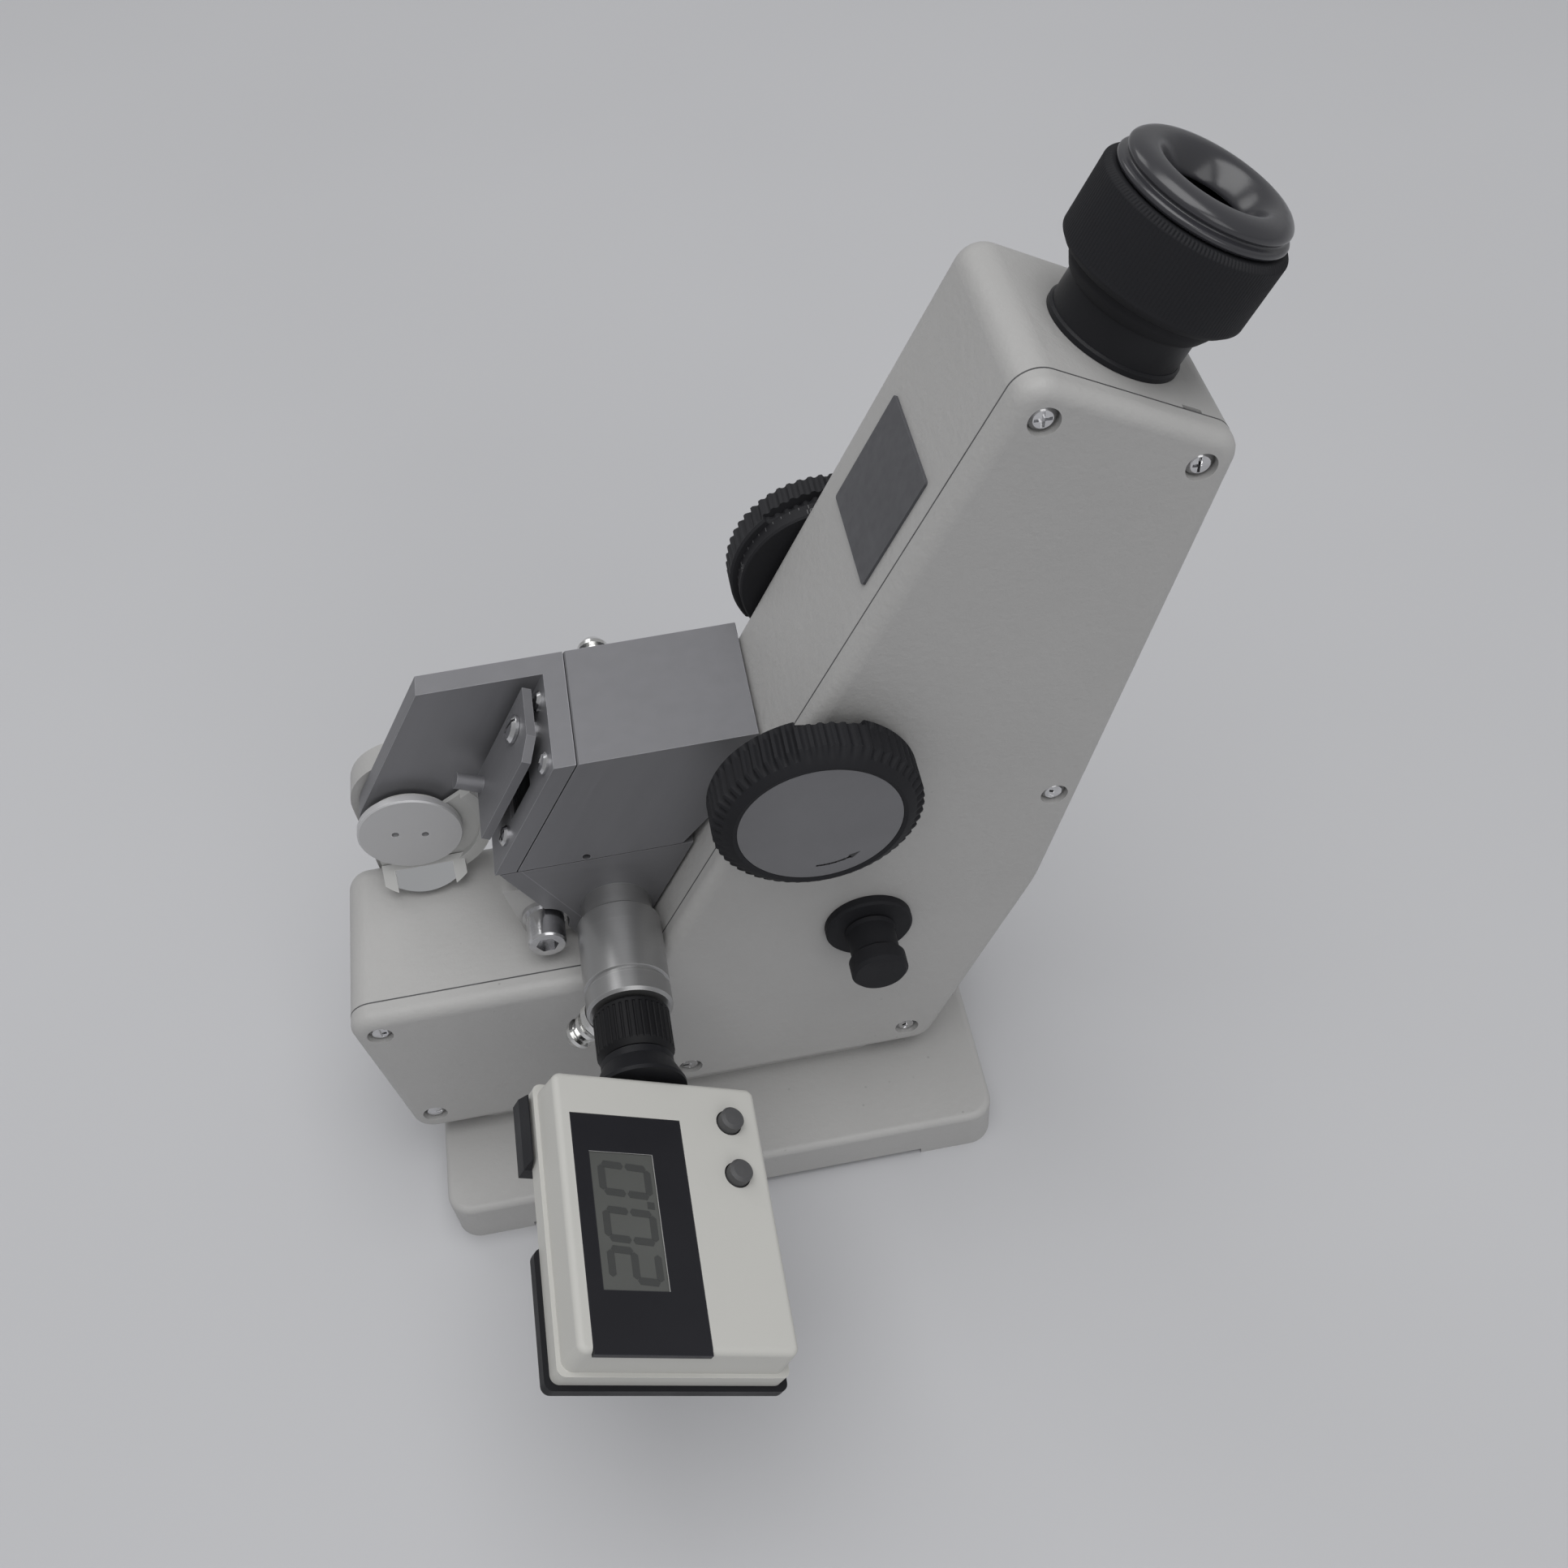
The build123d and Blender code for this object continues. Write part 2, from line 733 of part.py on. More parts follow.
# ================================================================ fixed prism housing
prism_end = prism_start + prism_length
undercut_z = block_bottom + block_undercut
with BuildPart() as refracting_prism_housing:
    block_points = [
        parting_at(block_top, 0),
        (front_face_x(block_top, block_gap), block_top),
        (front_face_x(undercut_z, block_gap), undercut_z),
        (front_face_x(block_bottom, block_gap) - 2.4, block_bottom),
        parting_at(block_bottom, 0),
    ]
    plate_between(block_near, case_half, block_points)
    chamfer(refracting_prism_housing.edges().filter_by(Axis.Y), length=0.25)
    # two low pads that space it from the arm, pierced by the bolts
    for along, y in housing_bolt_spots:
        round_bar(arm_point(along, -block_gap - 0.5, y), across_the_arm, housing_bolt_head,
                  block_gap + 0.5)
        round_bar(arm_point(along, -housing_bolt_reach - 1, y), across_the_arm,
                  housing_bolt_radius + running_fit, housing_bolt_reach + 1, Mode.SUBTRACT)
    pocket_points = [
        parting_xz(prism_start - pocket_fit, -0.5),
        parting_xz(prism_start - pocket_fit, 0),
        parting_xz(prism_start + prism_taper - pocket_fit, prism_depth + pocket_fit),
        parting_xz(prism_end - prism_taper + pocket_fit, prism_depth + pocket_fit),
        parting_xz(prism_end + pocket_fit, 0),
        parting_xz(prism_end + pocket_fit, -0.5),
    ]
    plate_between(prism_y - prism_width / 2 - pocket_fit, prism_y + prism_width / 2 + pocket_fit,
                  pocket_points, Mode.SUBTRACT)
    round_bar(parting_point(prism_start + prism_length / 2, prism_depth - 3), (1, 0, 0),
              light_hole_radius, block_height, Mode.SUBTRACT)
    round_bar((nipple_x, case_half - nipple_stub - 4, nipple_z), toward_far, nipple_bore,
              nipple_stub + 5, Mode.SUBTRACT)
    round_bar((nipple_x, case_half - nipple_stub, nipple_z), toward_far,
              nipple_neck + running_fit, nipple_stub + 1, Mode.SUBTRACT)
    round_bar((parting_foot_x + 15, block_near, block_bottom + 1), toward_far, weep_hole_radius, 3,
              Mode.SUBTRACT)
refracting_prism_housing.part.label = "refracting_prism_housing"
export_step(refracting_prism_housing.part, "parts/refracting_prism_housing.step")

with BuildPart() as refracting_prism:
    plate_between(prism_y - prism_width / 2, prism_y + prism_width / 2, [
        parting_xz(prism_start, 0),
        parting_xz(prism_start + prism_taper, prism_depth),
        parting_xz(prism_end - prism_taper, prism_depth),
        parting_xz(prism_end, 0),
    ])
refracting_prism.part.label = "refracting_prism"
export_step(refracting_prism.part, "parts/refracting_prism.step")

with BuildPart() as housing_bolts:
    for along, y in housing_bolt_spots:
        turn(arm_point(along, case_wall, y), across_the_arm, [
            (0, -case_wall - housing_bolt_reach),
            (housing_bolt_radius, -case_wall - housing_bolt_reach),
            (housing_bolt_radius, 0), (housing_bolt_head, 0),
            (housing_bolt_head, housing_bolt_head_height),
            (0, housing_bolt_head_height)])
housing_bolts.part.label = "housing_bolts"
export_step(housing_bolts.part, "parts/housing_bolts.step")

# ================================================================ hinged prism housing
plate_face = -parting_gap
plate_back = plate_face - plate_thickness
left_edge_top = Vector(arm_top_left_x, 0, block_top)
to_corner = left_edge_top - Vector(hinge_x, 0, hinge_z)
corner_angle = math.atan2(to_corner.Z, to_corner.X) + math.acos(arm_round / to_corner.length)
plate_corner = parting_at(block_bottom, plate_back)
to_plate = Vector(plate_corner[0] - hinge_x, 0, plate_corner[1] - hinge_z)
plate_angle = math.atan2(to_plate.Z, to_plate.X) - math.acos(arm_round / to_plate.length)
left_tangent = (hinge_x + arm_round * math.cos(corner_angle),
                hinge_z + arm_round * math.sin(corner_angle))
right_tangent = (hinge_x + arm_round * math.cos(plate_angle),
                 hinge_z + arm_round * math.sin(plate_angle))
housing_screw_spots = [
    (up, y)
    for up in (housing_screw_low, housing_screw_high)
    for y in (housing_screw_near_y, housing_screw_far_y)
]
away_from_block = into_block * -1

with BuildPart() as entry_prism_housing:
    plate_between(block_near, arm_wall_far, [
        parting_at(block_top, plate_face),
        parting_at(block_bottom, plate_face),
        parting_at(block_bottom, plate_back),
        parting_at(block_top, plate_back),
    ])
    plate_between(arm_wall_near, arm_wall_far, [
        parting_at(block_top, plate_back + 0.5),
        parting_at(block_bottom, plate_back + 0.5),
        plate_corner,
        right_tangent,
        (hinge_x, hinge_z),
        left_tangent,
        (arm_top_left_x, block_top),
    ])
    round_bar((hinge_x, arm_wall_near, hinge_z), toward_far, arm_round, arm_wall)
    round_bar((hinge_x, arm_wall_near, hinge_z), toward_far, hinge_radius + running_fit, arm_wall,
              Mode.SUBTRACT)
    window_far_y = prism_y + window_width / 2
    window_near_y = prism_y - window_width / 2
    plate_between(window_near_y - pocket_fit, window_far_y + pocket_fit, [
        parting_xz(window_start - pocket_fit, 0.5),
        parting_xz(window_start - pocket_fit, plate_back + window_lip),
        parting_xz(window_start + window_length + pocket_fit, plate_back + window_lip),
        parting_xz(window_start + window_length + pocket_fit, 0.5),
    ], Mode.SUBTRACT)
    plate_between(window_near_y + window_lip, window_far_y - window_lip, [
        parting_xz(window_start + window_lip, plate_back + 2 * window_lip),
        parting_xz(window_start + window_lip, plate_back - 1),
        parting_xz(window_start + window_length - window_lip, plate_back - 1),
        parting_xz(window_start + window_length - window_lip, plate_back + 2 * window_lip),
    ], Mode.SUBTRACT)
    for up, y in housing_screw_spots:
        round_bar(parting_point(up, plate_back, y), into_block, housing_screw_radius + running_fit,
                  housing_screw_reach + 0.2, Mode.SUBTRACT)
    round_bar(parting_point(shield_pivot_up, plate_back, shield_pivot_y), into_block,
              housing_screw_radius + running_fit, housing_screw_reach + 0.2, Mode.SUBTRACT)
entry_prism_housing.part.label = "entry_prism_housing"
export_step(entry_prism_housing.part, "parts/entry_prism_housing.step")

with BuildPart() as entry_prism:
    plate_between(window_near_y, window_far_y, [
        parting_xz(window_start, plate_face),
        parting_xz(window_start, plate_back + window_lip + 0.05),
        parting_xz(window_start + window_length, plate_back + window_lip + 0.05),
        parting_xz(window_start + window_length, plate_face),
    ])
entry_prism.part.label = "entry_prism"
export_step(entry_prism.part, "parts/entry_prism.step")

with BuildPart() as entry_housing_screws:
    for number, (up, y) in enumerate(housing_screw_spots):
        turn(parting_point(up, plate_back, y), away_from_block, [
            (0, -housing_screw_reach), (housing_screw_radius, -housing_screw_reach),
            (housing_screw_radius, 0), (housing_screw_head, 0),
            (housing_screw_head, housing_screw_dome * 0.5),
            (housing_screw_head * 0.75, housing_screw_dome * 0.9), (0, housing_screw_dome)])
        cross_slot(parting_point(up, plate_back - housing_screw_dome, y), away_from_block,
                   slot_turn * number)
entry_housing_screws.part.label = "entry_housing_screws"
export_step(entry_housing_screws.part, "parts/entry_housing_screws.step")

# ================================================================ light shield
shield_inner = plate_back - shield_gap
shield_outer = shield_inner - shield_thickness
shield_mid_y = (shield_near + shield_far) / 2
shield_mid_up = (shield_start + shield_end) / 2
with BuildPart() as light_shield_plate:
    with BuildSketch(Plane(origin=parting_point(shield_mid_up, shield_inner, shield_mid_y),
                           x_dir=(0, 1, 0), z_dir=away_from_block)) as shield_face:
        Rectangle(shield_far - shield_near, shield_end - shield_start)
        near_top = shield_face.vertices().sort_by(lambda corner: corner.X + corner.Y)[0]
        chamfer(near_top, length=shield_corner)
    extrude(amount=shield_thickness)
    round_bar(parting_point(shield_pivot_up, shield_inner, shield_pivot_y), away_from_block,
              shield_shoulder + running_fit, shield_thickness, Mode.SUBTRACT)
    round_bar(parting_point(finger_pin_up, shield_outer, finger_pin_y), away_from_block,
              finger_pin_radius, finger_pin_length)
light_shield_plate.part.label = "light_shield_plate"
export_step(light_shield_plate.part, "parts/light_shield_plate.step")

with BuildPart() as light_shield_screw:
    head_start = shield_gap + shield_thickness + 2 * running_fit
    turn(parting_point(shield_pivot_up, plate_back, shield_pivot_y), away_from_block, [
        (0, -housing_screw_reach), (housing_screw_radius, -housing_screw_reach),
        (housing_screw_radius, 0), (shield_screw_head, 0),
        (shield_screw_head, shield_gap - running_fit),
        (shield_shoulder, shield_gap - running_fit),
        (shield_shoulder, head_start), (shield_screw_head, head_start),
        (shield_screw_head, head_start + shield_screw_dome * 0.4),
        (shield_screw_head * 0.75, head_start + shield_screw_dome * 0.85),
        (0, head_start + shield_screw_dome)])
    with BuildSketch(Plane(origin=parting_point(shield_pivot_up,
                                                plate_back - head_start - shield_screw_dome,
                                                shield_pivot_y), z_dir=away_from_block)):
        Rectangle(2 * shield_screw_head, cross_width)
    extrude(amount=-cross_depth, mode=Mode.SUBTRACT)
light_shield_screw.part.label = "light_shield_screw"
export_step(light_shield_screw.part, "parts/light_shield_screw.step")

# ================================================================ hinge
with BuildPart() as hinge_shaft:
    turn((hinge_x, cap_back, hinge_z), toward_far, [
        (0, 0), (hinge_radius, 0), (hinge_radius, ear_far - cap_back),
        (shaft_head_radius, ear_far - cap_back),
        (shaft_head_radius, ear_far - cap_back + shaft_head_thickness),
        (0, ear_far - cap_back + shaft_head_thickness)])
hinge_shaft.part.label = "hinge_shaft"
export_step(hinge_shaft.part, "parts/hinge_shaft.step")

with BuildPart() as hinge_cap:
    round_bar((hinge_x, cap_front, hinge_z), toward_far, hinge_cap_radius, hinge_cap_thickness)
    chamfer(hinge_cap.edges().filter_by(GeomType.CIRCLE), length=0.3)
    for side in (-1, 1):
        hole_x = hinge_x + side * spanner_hole_offset * 0.97
        hole_z = hinge_z - side * spanner_hole_offset * 0.24
        round_bar((hole_x, cap_front, hole_z), toward_far, spanner_hole_radius,
                  hinge_cap_thickness * 0.75, Mode.SUBTRACT)
hinge_cap.part.label = "hinge_cap"
export_step(hinge_cap.part, "parts/hinge_cap.step")

slope_sin = math.sin(math.radians(mirror_slope))
slope_cos = math.cos(math.radians(mirror_slope))
frame_top_y = hub_far - side_gap - mirror_frame_thickness * slope_sin
frame_top_z = hinge_z - hinge_cap_radius - side_gap
mirror_plane = Plane(origin=(hinge_x, frame_top_y - mirror_frame_length / 2 * slope_cos,
                             frame_top_z - mirror_frame_length / 2 * slope_sin),
                     x_dir=(1, 0, 0), z_dir=(0, -slope_sin, slope_cos))
with BuildPart() as mirror_holder:
    round_bar((hinge_x, hub_near, hinge_z), toward_far, hub_radius, hub_thickness)
    # the round ear at the right of the hub, with a raised rim
    ear_points = [(hinge_x, hinge_z)]
    for share in (0, 0.25, 0.5, 0.75, 1):
        angle = math.radians(mirror_ear_start + share * (mirror_ear_end - mirror_ear_start))
        ear_points.append((hinge_x + 2 * mirror_reach * math.cos(angle),
                           hinge_z + 2 * mirror_reach * math.sin(angle)))
    for near, inner in ((hub_near, 0), (hub_near - mirror_rim_height, mirror_reach - mirror_rim)):
        with BuildSketch(at_y(near)):
            with BuildLine():
                Polyline(*ear_points, close=True)
            make_face()
            with Locations((hinge_x, hinge_z)):
                Circle(mirror_reach, mode=Mode.INTERSECT)
                if inner > 0:
                    Circle(inner, mode=Mode.SUBTRACT)
        extrude(amount=near - hub_far)
    # the web down to the sloping frame
    plate_between(hub_near, hub_far, [
        (hinge_x - mirror_frame_width / 2, hinge_z - hub_radius / 2),
        (hinge_x + mirror_frame_width / 2, hinge_z - hub_radius / 2),
        (hinge_x + mirror_frame_width / 2, frame_top_z - 1.2),
        (hinge_x - mirror_frame_width / 2, frame_top_z - 1.2),
    ])
    with BuildSketch(mirror_plane):
        Rectangle(mirror_frame_width, mirror_frame_length)
    extrude(amount=-mirror_frame_thickness)
    with BuildSketch(mirror_plane):
        with Locations((0, mirror_frame_length / 2 - mirror_bar)):
            Rectangle(mirror_window_width, mirror_frame_length, align=(Align.CENTER, Align.MAX))
    extrude(amount=-mirror_frame_thickness, mode=Mode.SUBTRACT)
    with BuildSketch(mirror_plane.offset(-mirror_frame_thickness + mirror_glass_thickness)):
        with Locations((0, mirror_frame_length / 2 - mirror_bar + mirror_lip)):
            Rectangle(mirror_window_width + 2 * mirror_lip, mirror_frame_length + 2,
                      align=(Align.CENTER, Align.MAX))
    extrude(amount=-2 * mirror_glass_thickness, mode=Mode.SUBTRACT)
    with BuildSketch(at_y(-case_half)):
        with Locations((hinge_x, hinge_z)):
            Circle(mirror_reach)
    extrude(amount=-2 * case_half, mode=Mode.INTERSECT)
    round_bar((hinge_x, -case_half, hinge_z), toward_far, hinge_radius + running_fit,
              2 * case_half, Mode.SUBTRACT)
mirror_holder.part.label = "mirror_holder"
export_step(mirror_holder.part, "parts/mirror_holder.step")

with BuildPart() as mirror_glass:
    with BuildSketch(mirror_plane.offset(-mirror_frame_thickness)):
        with Locations((0, mirror_frame_length / 2 - mirror_bar + mirror_lip - pocket_fit)):
            Rectangle(mirror_window_width + 2 * (mirror_lip - pocket_fit), mirror_frame_length,
                      align=(Align.CENTER, Align.MAX))
    extrude(amount=mirror_glass_thickness)
    with BuildSketch(at_y(-case_half)):
        with Locations((hinge_x, hinge_z)):
            Circle(mirror_reach - 0.3)
    extrude(amount=-2 * case_half, mode=Mode.INTERSECT)
mirror_glass.part.label = "mirror_glass"
export_step(mirror_glass.part, "parts/mirror_glass.step")

# ================================================================ cradle and thermometer seat
cradle_far = block_near + cradle_depth
seat_bottom = cradle_bottom + cradle_band
band_x = cradle_band / math.cos(math.atan(cradle_side))
seat_left_top = cradle_top_left + band_x
seat_left_bottom = seat_left_top + cradle_side * (cradle_top - seat_bottom)
relief_depth = post_near - block_near
with BuildPart() as prism_cradle:
    plate_between(block_near, cradle_far, [
        (cradle_top_left, cradle_top),
        (cradle_bottom_left, cradle_bottom),
        (front_face_x(cradle_bottom, block_gap), cradle_bottom),
        (front_face_x(seat_bottom, block_gap), seat_bottom),
        (seat_left_bottom, seat_bottom),
        (seat_left_top, cradle_top),
    ])
    round_bar((cap_screw_x, block_near, cap_screw_z), toward_far, washer_radius + side_gap,
              relief_depth, Mode.SUBTRACT)
prism_cradle.part.label = "prism_cradle"
export_step(prism_cradle.part, "parts/prism_cradle.step")

with BuildPart() as thermometer_seat:
    plate_between(block_near, cradle_far, [
        (seat_left_top, cradle_top),
        (seat_left_bottom, seat_bottom),
        (front_face_x(seat_bottom, block_gap), seat_bottom),
        (front_face_x(cradle_top, block_gap), cradle_top),
    ])
    round_bar((cap_screw_x, block_near, cap_screw_z), toward_far, washer_radius + side_gap,
              relief_depth, Mode.SUBTRACT)
    round_bar((probe_x, block_near, probe_z), toward_far, probe_radius + running_fit,
              probe_reach + 1, Mode.SUBTRACT)
thermometer_seat.part.label = "thermometer_seat"
export_step(thermometer_seat.part, "parts/thermometer_seat.step")

with BuildPart() as cradle_washer:
    turn((cap_screw_x, post_near, cap_screw_z), toward_near, [
        (cap_screw_radius + pocket_fit, 0), (washer_radius, 0),
        (washer_radius, washer_thickness), (cap_screw_radius + pocket_fit, washer_thickness)])
cradle_washer.part.label = "cradle_washer"
export_step(cradle_washer.part, "parts/cradle_washer.step")

with BuildPart() as cradle_cap_screw:
    turn((cap_screw_x, post_near - washer_thickness, cap_screw_z), toward_near, [
        (0, -cap_screw_reach - washer_thickness),
        (cap_screw_radius, -cap_screw_reach - washer_thickness),
        (cap_screw_radius, 0), (cap_screw_head, 0), (cap_screw_head, cap_screw_head_height - 0.4),
        (cap_screw_head - 0.4, cap_screw_head_height), (0, cap_screw_head_height)])
    with BuildSketch(at_y(post_near - washer_thickness - cap_screw_head_height)):
        with Locations((cap_screw_x, cap_screw_z)):
            RegularPolygon(cap_screw_hex / 2, 6, major_radius=False)
    extrude(amount=-cap_screw_hex_depth, mode=Mode.SUBTRACT)
cradle_cap_screw.part.label = "cradle_cap_screw"
export_step(cradle_cap_screw.part, "parts/cradle_cap_screw.step")

# ================================================================ thermometer socket
probe_start = Vector(probe_x, block_near, probe_z)
barrel_start = socket_ring_length + 0.4
barrel_end = barrel_start + socket_barrel_length
groove_at = barrel_end - socket_groove_up
with BuildPart() as thermometer_socket:
    turn(probe_start, toward_near, [
        (probe_radius + running_fit, 0), (socket_ring, 0), (socket_ring, socket_ring_length),
        (socket_barrel - 0.9, barrel_start), (socket_barrel, barrel_start + 0.9),
        (socket_barrel, groove_at), (socket_barrel - socket_groove, groove_at + 0.3),
        (socket_barrel - socket_groove, groove_at + 1.1), (socket_barrel, groove_at + 1.4),
        (socket_barrel, barrel_end - 0.6), (socket_barrel - 0.6, barrel_end),
        (socket_bore, barrel_end), (socket_bore, barrel_end - socket_bore_depth),
        (probe_radius + running_fit, barrel_end - socket_bore_depth)])
    hose_angle = math.radians(hose_slant)
    hose_direction = Vector(-math.cos(hose_angle), 0, -math.sin(hose_angle))
    hose_y = block_near - barrel_end + hose_up
    hose_start = Vector(probe_x, hose_y, probe_z) + hose_direction * socket_barrel
    round_bar(hose_start - hose_direction * nipple_stub, hose_direction,
              nipple_neck + running_fit, nipple_stub + hose_collar_out, Mode.SUBTRACT)
    round_bar(hose_start - hose_direction * socket_barrel, hose_direction, nipple_bore,
              socket_barrel, Mode.SUBTRACT)
thermometer_socket.part.label = "thermometer_socket"
export_step(thermometer_socket.part, "parts/thermometer_socket.step")


def nipple_profile(inset):
    """Half section of a hose nipple with two barbs, its stub sunk by inset."""
    barb = nipple_length / 4
    return [
        (nipple_bore, -inset), (nipple_neck, -inset), (nipple_neck, 0),
        (nipple_collar, 0), (nipple_collar, barb * 0.7), (nipple_neck, barb * 0.9),
        (nipple_neck, barb * 1.4), (nipple_barb, barb * 1.5), (nipple_barb, barb * 1.9),
        (nipple_neck, barb * 2.6), (nipple_neck, barb * 2.8), (nipple_barb, barb * 2.9),
        (nipple_barb, barb * 3.3), (nipple_neck - 0.3, barb * 4), (nipple_bore, barb * 4),
    ]


with BuildPart() as socket_hose_nipple:
    turn(hose_start + hose_direction * hose_collar_out, hose_direction,
         nipple_profile(nipple_stub))
    round_bar(probe_start, toward_near, socket_barrel + 0.02, barrel_end, Mode.SUBTRACT)
    round_bar(hose_start - hose_direction * (nipple_stub - hose_collar_out), hose_direction,
              nipple_neck, nipple_stub)
    round_bar(hose_start - hose_direction * (nipple_stub + 1), hose_direction, nipple_bore,
              nipple_length, Mode.SUBTRACT)
socket_hose_nipple.part.label = "socket_hose_nipple"
export_step(socket_hose_nipple.part, "parts/socket_hose_nipple.step")

with BuildPart() as rear_hose_nipple:
    turn((nipple_x, case_half, nipple_z), toward_far, nipple_profile(nipple_stub))
rear_hose_nipple.part.label = "rear_hose_nipple"
export_step(rear_hose_nipple.part, "parts/rear_hose_nipple.step")

# ================================================================ thermometer
nut_start = barrel_end + nut_gap
nut_end = nut_start + nut_length
stem_start = nut_end + nut_gap
head_flare = head_front_depth * math.tan(math.radians(head_taper))
rim_reach = head_flare + rim_proud
head_y = block_near - stem_start - stem_length - rim_reach - running_fit
head_plane = Plane(
    origin=(probe_x, head_y, probe_z),
    x_dir=(math.cos(math.radians(head_roll)), 0, -math.sin(math.radians(head_roll))),
    z_dir=(math.sin(math.radians(head_roll)), 0, math.cos(math.radians(head_roll))))
head_normal = Axis(head_plane.origin, head_plane.z_dir)
head_mid = -head_length / 2
front_bottom = head_front - head_front_depth

with BuildPart() as thermometer_nut:
    turn(probe_start, toward_near, [
        (probe_radius + running_fit, nut_start), (nut_radius - 0.8, nut_start),
        (nut_radius, nut_start + 0.8), (nut_radius, nut_end - 1.4), (nut_radius - 1, nut_end),
        (probe_radius + running_fit, nut_end)])
    turn(probe_start, toward_near, [
        (probe_radius + running_fit, nut_start - 8), (socket_bore - running_fit, nut_start - 8),
        (socket_bore - running_fit, nut_start), (probe_radius + running_fit, nut_start)])
    for flute in range(nut_flutes):
        angle = 2 * math.pi * flute / nut_flutes
        reach = nut_radius + nut_flute * 0.35
        round_bar((probe_x + reach * math.cos(angle), block_near - nut_start - 1.5,
                   probe_z + reach * math.sin(angle)),
                  toward_near, nut_flute, nut_length, Mode.SUBTRACT)
thermometer_nut.part.label = "thermometer_nut"
export_step(thermometer_nut.part, "parts/thermometer_nut.step")

with BuildPart() as thermometer_probe:
    turn(probe_start, toward_near, [
        (0, -probe_reach), (probe_radius * 0.6, -probe_reach),
        (probe_radius, -probe_reach + 1.2), (probe_radius, stem_start + stem_length + probe_tail),
        (0, stem_start + stem_length + probe_tail)])
thermometer_probe.part.label = "thermometer_probe"
export_step(thermometer_probe.part, "parts/thermometer_probe.step")

window_mid = ((glass_left + glass_right) / 2, -(glass_far + glass_near) / 2)
window_size = (glass_right - glass_left, glass_near - glass_far)
panel_mid_x = (panel_left + panel_right) / 2
panel_width = panel_right - panel_left
panel_length = head_length - panel_far
button_spots = [(button_across, -button_far - button_pitch * number) for number in (0, 1)]
inner_width = head_width - 2 * head_wall
inner_length = head_length - 2 * head_wall

with BuildPart() as thermometer_front_case:
    with BuildSketch(head_plane.offset(head_front)):
        with Locations((0, head_mid)):
            RectangleRounded(head_width, head_length, head_wall)
    extrude(amount=-head_front_depth, taper=-head_taper)
    fillet(thermometer_front_case.faces().sort_by(head_normal)[-1].edges(), radius=head_round)
    # the rim that stands out round its foot
    with BuildSketch(head_plane.offset(front_bottom)):
        with Locations((0, head_mid)):
            RectangleRounded(head_width + 2 * rim_reach, head_length + 2 * rim_reach, head_wall)
    extrude(amount=rim_height)
    with BuildSketch(head_plane.offset(front_bottom)):
        with Locations((0, head_mid)):
            Rectangle(inner_width, inner_length)
    extrude(amount=head_front_depth - head_wall - panel_depth, mode=Mode.SUBTRACT)
    with BuildSketch(head_plane.offset(head_front)):
        with Locations((panel_mid_x, -panel_far)):
            Rectangle(panel_width + 2 * pocket_fit, panel_length + 3,
                      align=(Align.CENTER, Align.MAX))
    extrude(amount=-panel_depth, mode=Mode.SUBTRACT)
    with BuildSketch(head_plane.offset(head_front)):
        with Locations(window_mid):
            Rectangle(window_size[0] - 1.6, window_size[1] - 1.6)
    extrude(amount=-head_front_depth, mode=Mode.SUBTRACT)
    with BuildSketch(head_plane.offset(head_front)):
        with Locations(*button_spots):
            Circle(button_radius + 0.3)
    extrude(amount=-head_front_depth, mode=Mode.SUBTRACT)
    round_bar((probe_x, head_y + rim_reach + 1, probe_z), toward_near, probe_radius + pocket_fit,
              rim_reach + 1 + 2 * head_wall, Mode.SUBTRACT)
thermometer_front_case.part.label = "thermometer_front_case"
export_step(thermometer_front_case.part, "parts/thermometer_front_case.step")

back_width = head_width + 2 * (head_flare - back_inset)
back_length = head_length + 2 * (head_flare - back_inset)
pad_width = head_width + 2 * (rim_reach + back_proud)
pad_near = head_length + rim_reach + back_proud
clip_outer = head_width / 2 + rim_reach + pocket_fit + clip_thickness
with BuildPart() as thermometer_back_case:
    with BuildSketch(head_plane.offset(front_bottom)):
        with Locations((0, head_mid)):
            RectangleRounded(back_width, back_length, head_wall)
    extrude(amount=-head_back_depth)
    # the pad at its near end, which stands out past the rim
    with BuildSketch(head_plane.offset(front_bottom)):
        with Locations((0, -pad_near)):
            RectangleRounded(pad_width, back_pad_share * head_length, head_wall,
                             align=(Align.CENTER, Align.MIN))
    extrude(amount=-head_back_depth)
    fillet(thermometer_back_case.faces().sort_by(head_normal)[0].edges(), radius=head_round)
    # the clip at the far left, with its tongue beside the rim
    with BuildSketch(head_plane.offset(front_bottom)):
        with Locations((-clip_outer, -clip_far)):
            Rectangle(clip_outer - back_width / 2 + head_wall, clip_length,
                      align=(Align.MIN, Align.MAX))
    extrude(amount=-head_back_depth)
    with BuildSketch(head_plane.offset(front_bottom)):
        with Locations((-clip_outer, -clip_far)):
            Rectangle(clip_thickness, clip_length, align=(Align.MIN, Align.MAX))
    extrude(amount=clip_rise, taper=12)
    with BuildSketch(head_plane.offset(front_bottom)):
        with Locations((0, head_mid)):
            Rectangle(inner_width, inner_length)
            with GridLocations(board_width - 2 * board_post_inset,
                               board_length - 2 * board_post_inset, 2, 2):
                Circle(board_post_radius, mode=Mode.SUBTRACT)
    extrude(amount=-head_back_depth + head_wall, mode=Mode.SUBTRACT)
thermometer_back_case.part.label = "thermometer_back_case"
export_step(thermometer_back_case.part, "parts/thermometer_back_case.step")

